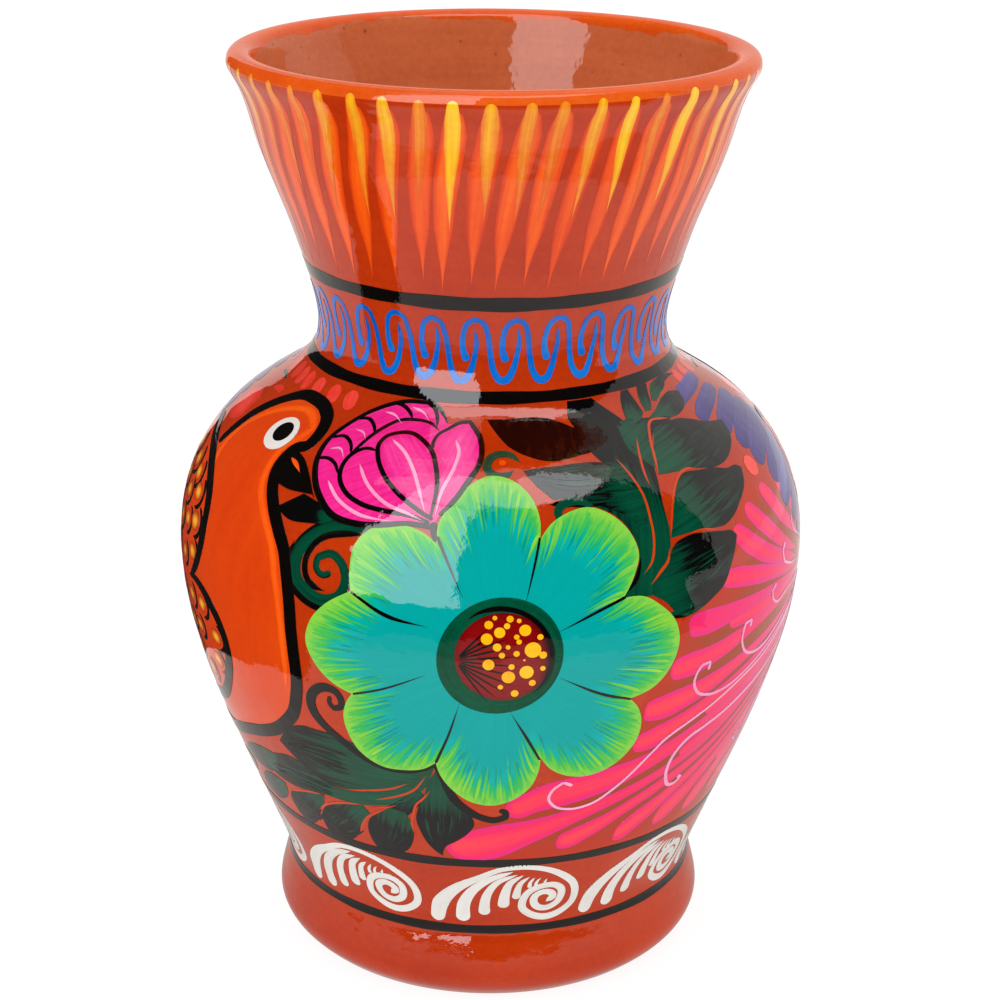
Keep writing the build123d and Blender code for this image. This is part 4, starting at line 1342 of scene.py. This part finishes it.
plumes += [simple_plume(path, width) for width, path in SIMPLE_PLUMES]
lay("plumes", "plume", 1.1, plumes, TWICE)

# Width in mm, and path.
HOOKS = [
    (1.2, [(16.3, 74.3), (14.5, 75.7), (12.5, 73.3), (11.9, 70.7), (13.5, 67.3), (17, 65.9), (21, 66.7),
           (25.5, 70.7), (29, 75.3), (32, 80), (35, 84), (40, 87.3), (45, 90), (52.5, 94), (60, 97.3),
           (70, 104), (80, 112)]),
    (1.7, [(42, 68), (43, 67.5), (42, 66), (40, 66), (38.3, 69.3), (37.8, 74), (38.8, 78), (41, 81.3),
           (45, 83.3), (50, 85.3), (55, 87.7), (60, 90), (67.5, 94), (78, 104)]),
    (1.3, [(41.8, 102.7), (42, 105), (40, 104.7), (38.7, 100.7), (40, 96.7), (43.5, 94.3), (49, 94.3),
           (55, 96.7), (60, 99.3), (70, 105), (78, 110)]),
    (1.3, [(52.5, 110.3), (52.8, 112.3), (50.8, 112), (50.3, 108), (52, 103.3), (55, 101.3), (60, 101.7),
           (63.5, 103.7), (74, 109.5)]),
    (1.1, [(61.5, 118), (60, 117), (60.3, 114.7), (62.5, 112.3), (66.5, 113), (74, 114.6)]),
    (1.1, [(66.5, 127.3), (65, 125.7), (65.5, 122.7), (68, 120.7), (76, 118)]),
    (1.0, [(72.4, 132), (72, 130), (73, 127.6), (76, 125), (80, 121)]),
    (1.2, [(62, 72.5), (61, 70.6), (62.4, 69), (64.6, 71), (66, 77), (70, 85.5), (76, 96), (82, 107)]),
]
hooks = [stroke(p, [0.9 * w] + [0.66 * w] * (len(p) - 2) + [0.3 * w], end=14) for w, p in HOOKS]
lay("plume_hooks", "pale", 4, hooks, TWICE)

# Each feather's left end, its width and how far it rises to the right, in mm.
PURPLE = [(61, 165.2, 2.8, 1), (61.8, 161.2, 2.9, 2), (65.5, 157.5, 3.2, 3), (67, 153.4, 3.5, 4),
          (68.4, 149, 4.4, 5), (71.1, 143.4, 4.4, 5), (71.6, 137, 4.6, 5), (75.6, 131, 4.2, 5),
          (78, 125.2, 4.0, 5)]


def purple_feather(a, z, w, rise):
    """One feather, which bends level towards its right end."""
    path = [(a - 1.5, z - 0.3), (a + 4, z + 0.5 * rise), (a + 10, z + 0.8 * rise), (a + 16, z + rise),
            (a + 22, z + rise)]
    middle = leaf_rng.uniform(0.35, 0.6)
    widths = [1.35 * w, 1.75 * w, 1.75 * w, 1.6 * w, 1.3 * w]
    return stroke(path, widths, end=3, shade=lambda q, t: middle + 0.12 * q)


purple = [purple_feather(*row) for row in PURPLE]
lay("purple_feathers", "purple", 1.6, purple, TWICE)
lay("pink_berry", "coral", 3, [dot(63.4, 149.2, 3.0, 0.75)], TWICE)

# ---------------------------------------------------------------- floor, light and camera


def plain_material(name, colour, strength):
    """A material that only gives off light."""
    material = bpy.data.materials.new(name)
    material.use_nodes = True
    tree = material.node_tree
    tree.nodes.clear()
    output = tree.nodes.new("ShaderNodeOutputMaterial")
    glow = tree.nodes.new("ShaderNodeEmission")
    glow.inputs["Color"].default_value = colour
    glow.inputs["Strength"].default_value = strength
    tree.links.new(glow.outputs[0], output.inputs["Surface"])
    return material


def stage_mesh(name, points, faces, material, reflector=True):
    """Part of the studio. A reflector is seen only in the gloss."""
    mesh = bpy.data.meshes.new(name)
    mesh.from_pydata(points, [], faces)
    mesh.materials.append(material)
    thing = bpy.data.objects.new(name, mesh)
    bpy.context.scene.collection.objects.link(thing)
    if reflector:
        thing.visible_camera = False
        thing.visible_diffuse = False
        thing.visible_transmission = False
        thing.visible_volume_scatter = False
        thing.visible_shadow = False
    return thing


def sky_patch(name, azimuths, elevations, distance, material):
    """A patch of a sphere round the vase, between two azimuths and two elevations."""
    points = []
    for lift in np.radians(np.linspace(*elevations, SKY_ROWS + 1)):
        flat = distance * math.cos(lift)
        for turn in np.radians(np.linspace(*azimuths, SKY_COLUMNS + 1)):
            height = SKY_CENTRE + distance * math.sin(lift)
            points.append((flat * math.sin(turn), -flat * math.cos(turn), height))
    return stage_mesh(name, points, grid_faces(SKY_ROWS + 1, SKY_COLUMNS + 1), material)


def floor_sheet(name, azimuths, distances, height, material):
    """A flat level sheet, between two azimuths and two distances from the vase."""
    turns = np.radians(np.linspace(*azimuths, SHEET_STEPS + 1))
    points = [(d * math.sin(t), -d * math.cos(t), height) for d in distances for t in turns]
    return stage_mesh(name, points, grid_faces(2, SHEET_STEPS + 1), material)


# The gloss mirrors a dark room with two windows. Distances and heights are in metres.
SKY_ROWS, SKY_COLUMNS, SHEET_STEPS = 12, 24, 32
SKY_CENTRE = 0.12
DARK_SHEET_HEIGHT, SHADED_HEIGHT, CARD_HEIGHT = 0.0006, 0.0003, 0.150
ROOM_END = 3.3

studio_dark = plain_material("studio_dark", (1, 1, 1, 1), 0.035)
studio_dim = plain_material("studio_dim", (1, 0.96, 0.92, 1), 0.4)
studio_window = plain_material("studio_window", (0.96, 0.98, 1, 1), 6.0)
studio_strip = plain_material("studio_strip", (1, 0.93, 0.82, 1), 1.8)
studio_roof_window = plain_material("studio_roof_window", (0.96, 0.98, 1, 1), 5.0)
studio_surround = plain_material("studio_surround", (1, 0.95, 0.9, 1), 0.85)
studio_card = plain_material("studio_card", (1, 0.94, 0.88, 1), 0.8)

sky_patch("studio_dark_room", (-156, 86), (-8, 70), 3.2, studio_dark)
sky_patch("studio_side_window", (-50, -10), (-4, 60), 3.0, studio_window)
sky_patch("studio_surround", (-180, 180), (-4, 89), 3.6, studio_surround)
sky_patch("studio_top_strip", (-78, 100), (60, 84), 2.9, studio_strip)
sky_patch("studio_roof_window", (-52, 80), (61, 79), 2.8, studio_roof_window)

# The floor is darkest under the vase. The outermost ring runs on to the end of the shade.
SHADED_RINGS, SHADED_START, SHADED_STEP, SHADED_END = 8, 0.02, 0.03, 0.9
for k in range(SHADED_RINGS):
    near = SHADED_START + SHADED_STEP * k
    far = SHADED_END if k == SHADED_RINGS - 1 else near + SHADED_STEP
    shaded = plain_material(f"studio_shaded_floor_{k}", (1, 0.93, 0.88, 1), 0.45 + 0.06 * k)
    floor_sheet(f"studio_shaded_floor_{k}", (-180, 180), (near, far), SHADED_HEIGHT, shaded)
floor_sheet("studio_dim_floor_front", (-60, 74), (0.315, 0.42), DARK_SHEET_HEIGHT, studio_dim)
floor_sheet("studio_dark_floor_front", (-60, 70), (0.42, ROOM_END), DARK_SHEET_HEIGHT, studio_dark)
floor_sheet("studio_dark_floor_left", (-156, -60), (0.20, ROOM_END), DARK_SHEET_HEIGHT, studio_dark)

# A lit level card on the left shows only in the neck and the mouth. Its dark back hides it from the belly.
floor_sheet("studio_card_back", (-166, -73), (0.082, 0.901), CARD_HEIGHT - 0.0002, studio_dark)
floor_sheet("studio_card_left", (-165, -74), (0.083, 0.90), CARD_HEIGHT, studio_card)

floor_paint = bpy.data.materials.new("studio_floor")
floor_paint.use_nodes = True
floor_shader = floor_paint.node_tree.nodes["Principled BSDF"]
floor_shader.inputs["Base Color"].default_value = (0.15, 0.15, 0.15, 1)
floor_shader.inputs["Roughness"].default_value = 0.9
floor_shader.inputs["Specular IOR Level"].default_value = 0.0
floor_shader.inputs["Emission Color"].default_value = (1, 1, 1, 1)
floor_shader.inputs["Emission Strength"].default_value = 0.9
FLOOR_HALF = 6
floor_corners = [(-FLOOR_HALF, -FLOOR_HALF, 0), (FLOOR_HALF, -FLOOR_HALF, 0), (FLOOR_HALF, FLOOR_HALF, 0),
                 (-FLOOR_HALF, FLOOR_HALF, 0)]
stage_mesh("studio_floor", floor_corners, [(0, 1, 2, 3)], floor_paint, False)

world = bpy.data.worlds.new("studio_white")
world.use_nodes = True
world.node_tree.nodes["Background"].inputs["Color"].default_value = (1, 1, 1, 1)
world.node_tree.nodes["Background"].inputs["Strength"].default_value = 1.0
bpy.context.scene.world = world
bpy.context.scene.view_settings.view_transform = "Standard"


LAMP_TARGET = 0.13      # height in metres


def soft_light(name, azimuth, elevation, distance, size, power):
    """A large soft lamp that shades the paint but isn't seen in the gloss."""
    lamp = bpy.data.lights.new(name, "AREA")
    lamp.shape = "SQUARE"
    lamp.size = size
    lamp.energy = power
    thing = bpy.data.objects.new(name, lamp)
    bpy.context.scene.collection.objects.link(thing)
    turn, lift = math.radians(azimuth), math.radians(elevation)
    toward = Vector((math.cos(lift) * math.sin(turn), -math.cos(lift) * math.cos(turn), math.sin(lift)))
    thing.location = Vector((0, 0, LAMP_TARGET)) + toward * distance
    thing.rotation_euler = toward.to_track_quat("Z", "Y").to_euler()
    thing.visible_glossy = False
    return thing


soft_light("studio_key", -30, 30, 1.6, 1.0, 2)
soft_light("studio_top", 10, 75, 1.5, 1.2, 3)

CAMERA_PLACE = (0.00253, -0.62521, 0.35251)
CAMERA_PITCH = math.radians(19.910)    # below level
CAMERA_ROLL = math.radians(0.498)
FOCAL_MM, SENSOR_MM = 84.6, 36
camera_data = bpy.data.cameras.new("camera")
camera_data.lens = FOCAL_MM
camera_data.sensor_width = SENSOR_MM
camera_data.sensor_fit = "HORIZONTAL"
camera_data.clip_start = 0.01
camera = bpy.data.objects.new("camera", camera_data)
bpy.context.scene.collection.objects.link(camera)
look = Vector((0, math.cos(CAMERA_PITCH), -math.sin(CAMERA_PITCH)))
level_up = Vector((0, math.sin(CAMERA_PITCH), math.cos(CAMERA_PITCH)))
level_right = Vector((1, 0, 0))
right = math.cos(CAMERA_ROLL) * level_right + math.sin(CAMERA_ROLL) * level_up
up = -math.sin(CAMERA_ROLL) * level_right + math.cos(CAMERA_ROLL) * level_up
turned = Matrix((right, up, -look)).transposed().to_4x4()
camera.matrix_world = Matrix.Translation(CAMERA_PLACE) @ turned
bpy.context.scene.camera = camera

bpy.context.view_layer.update()
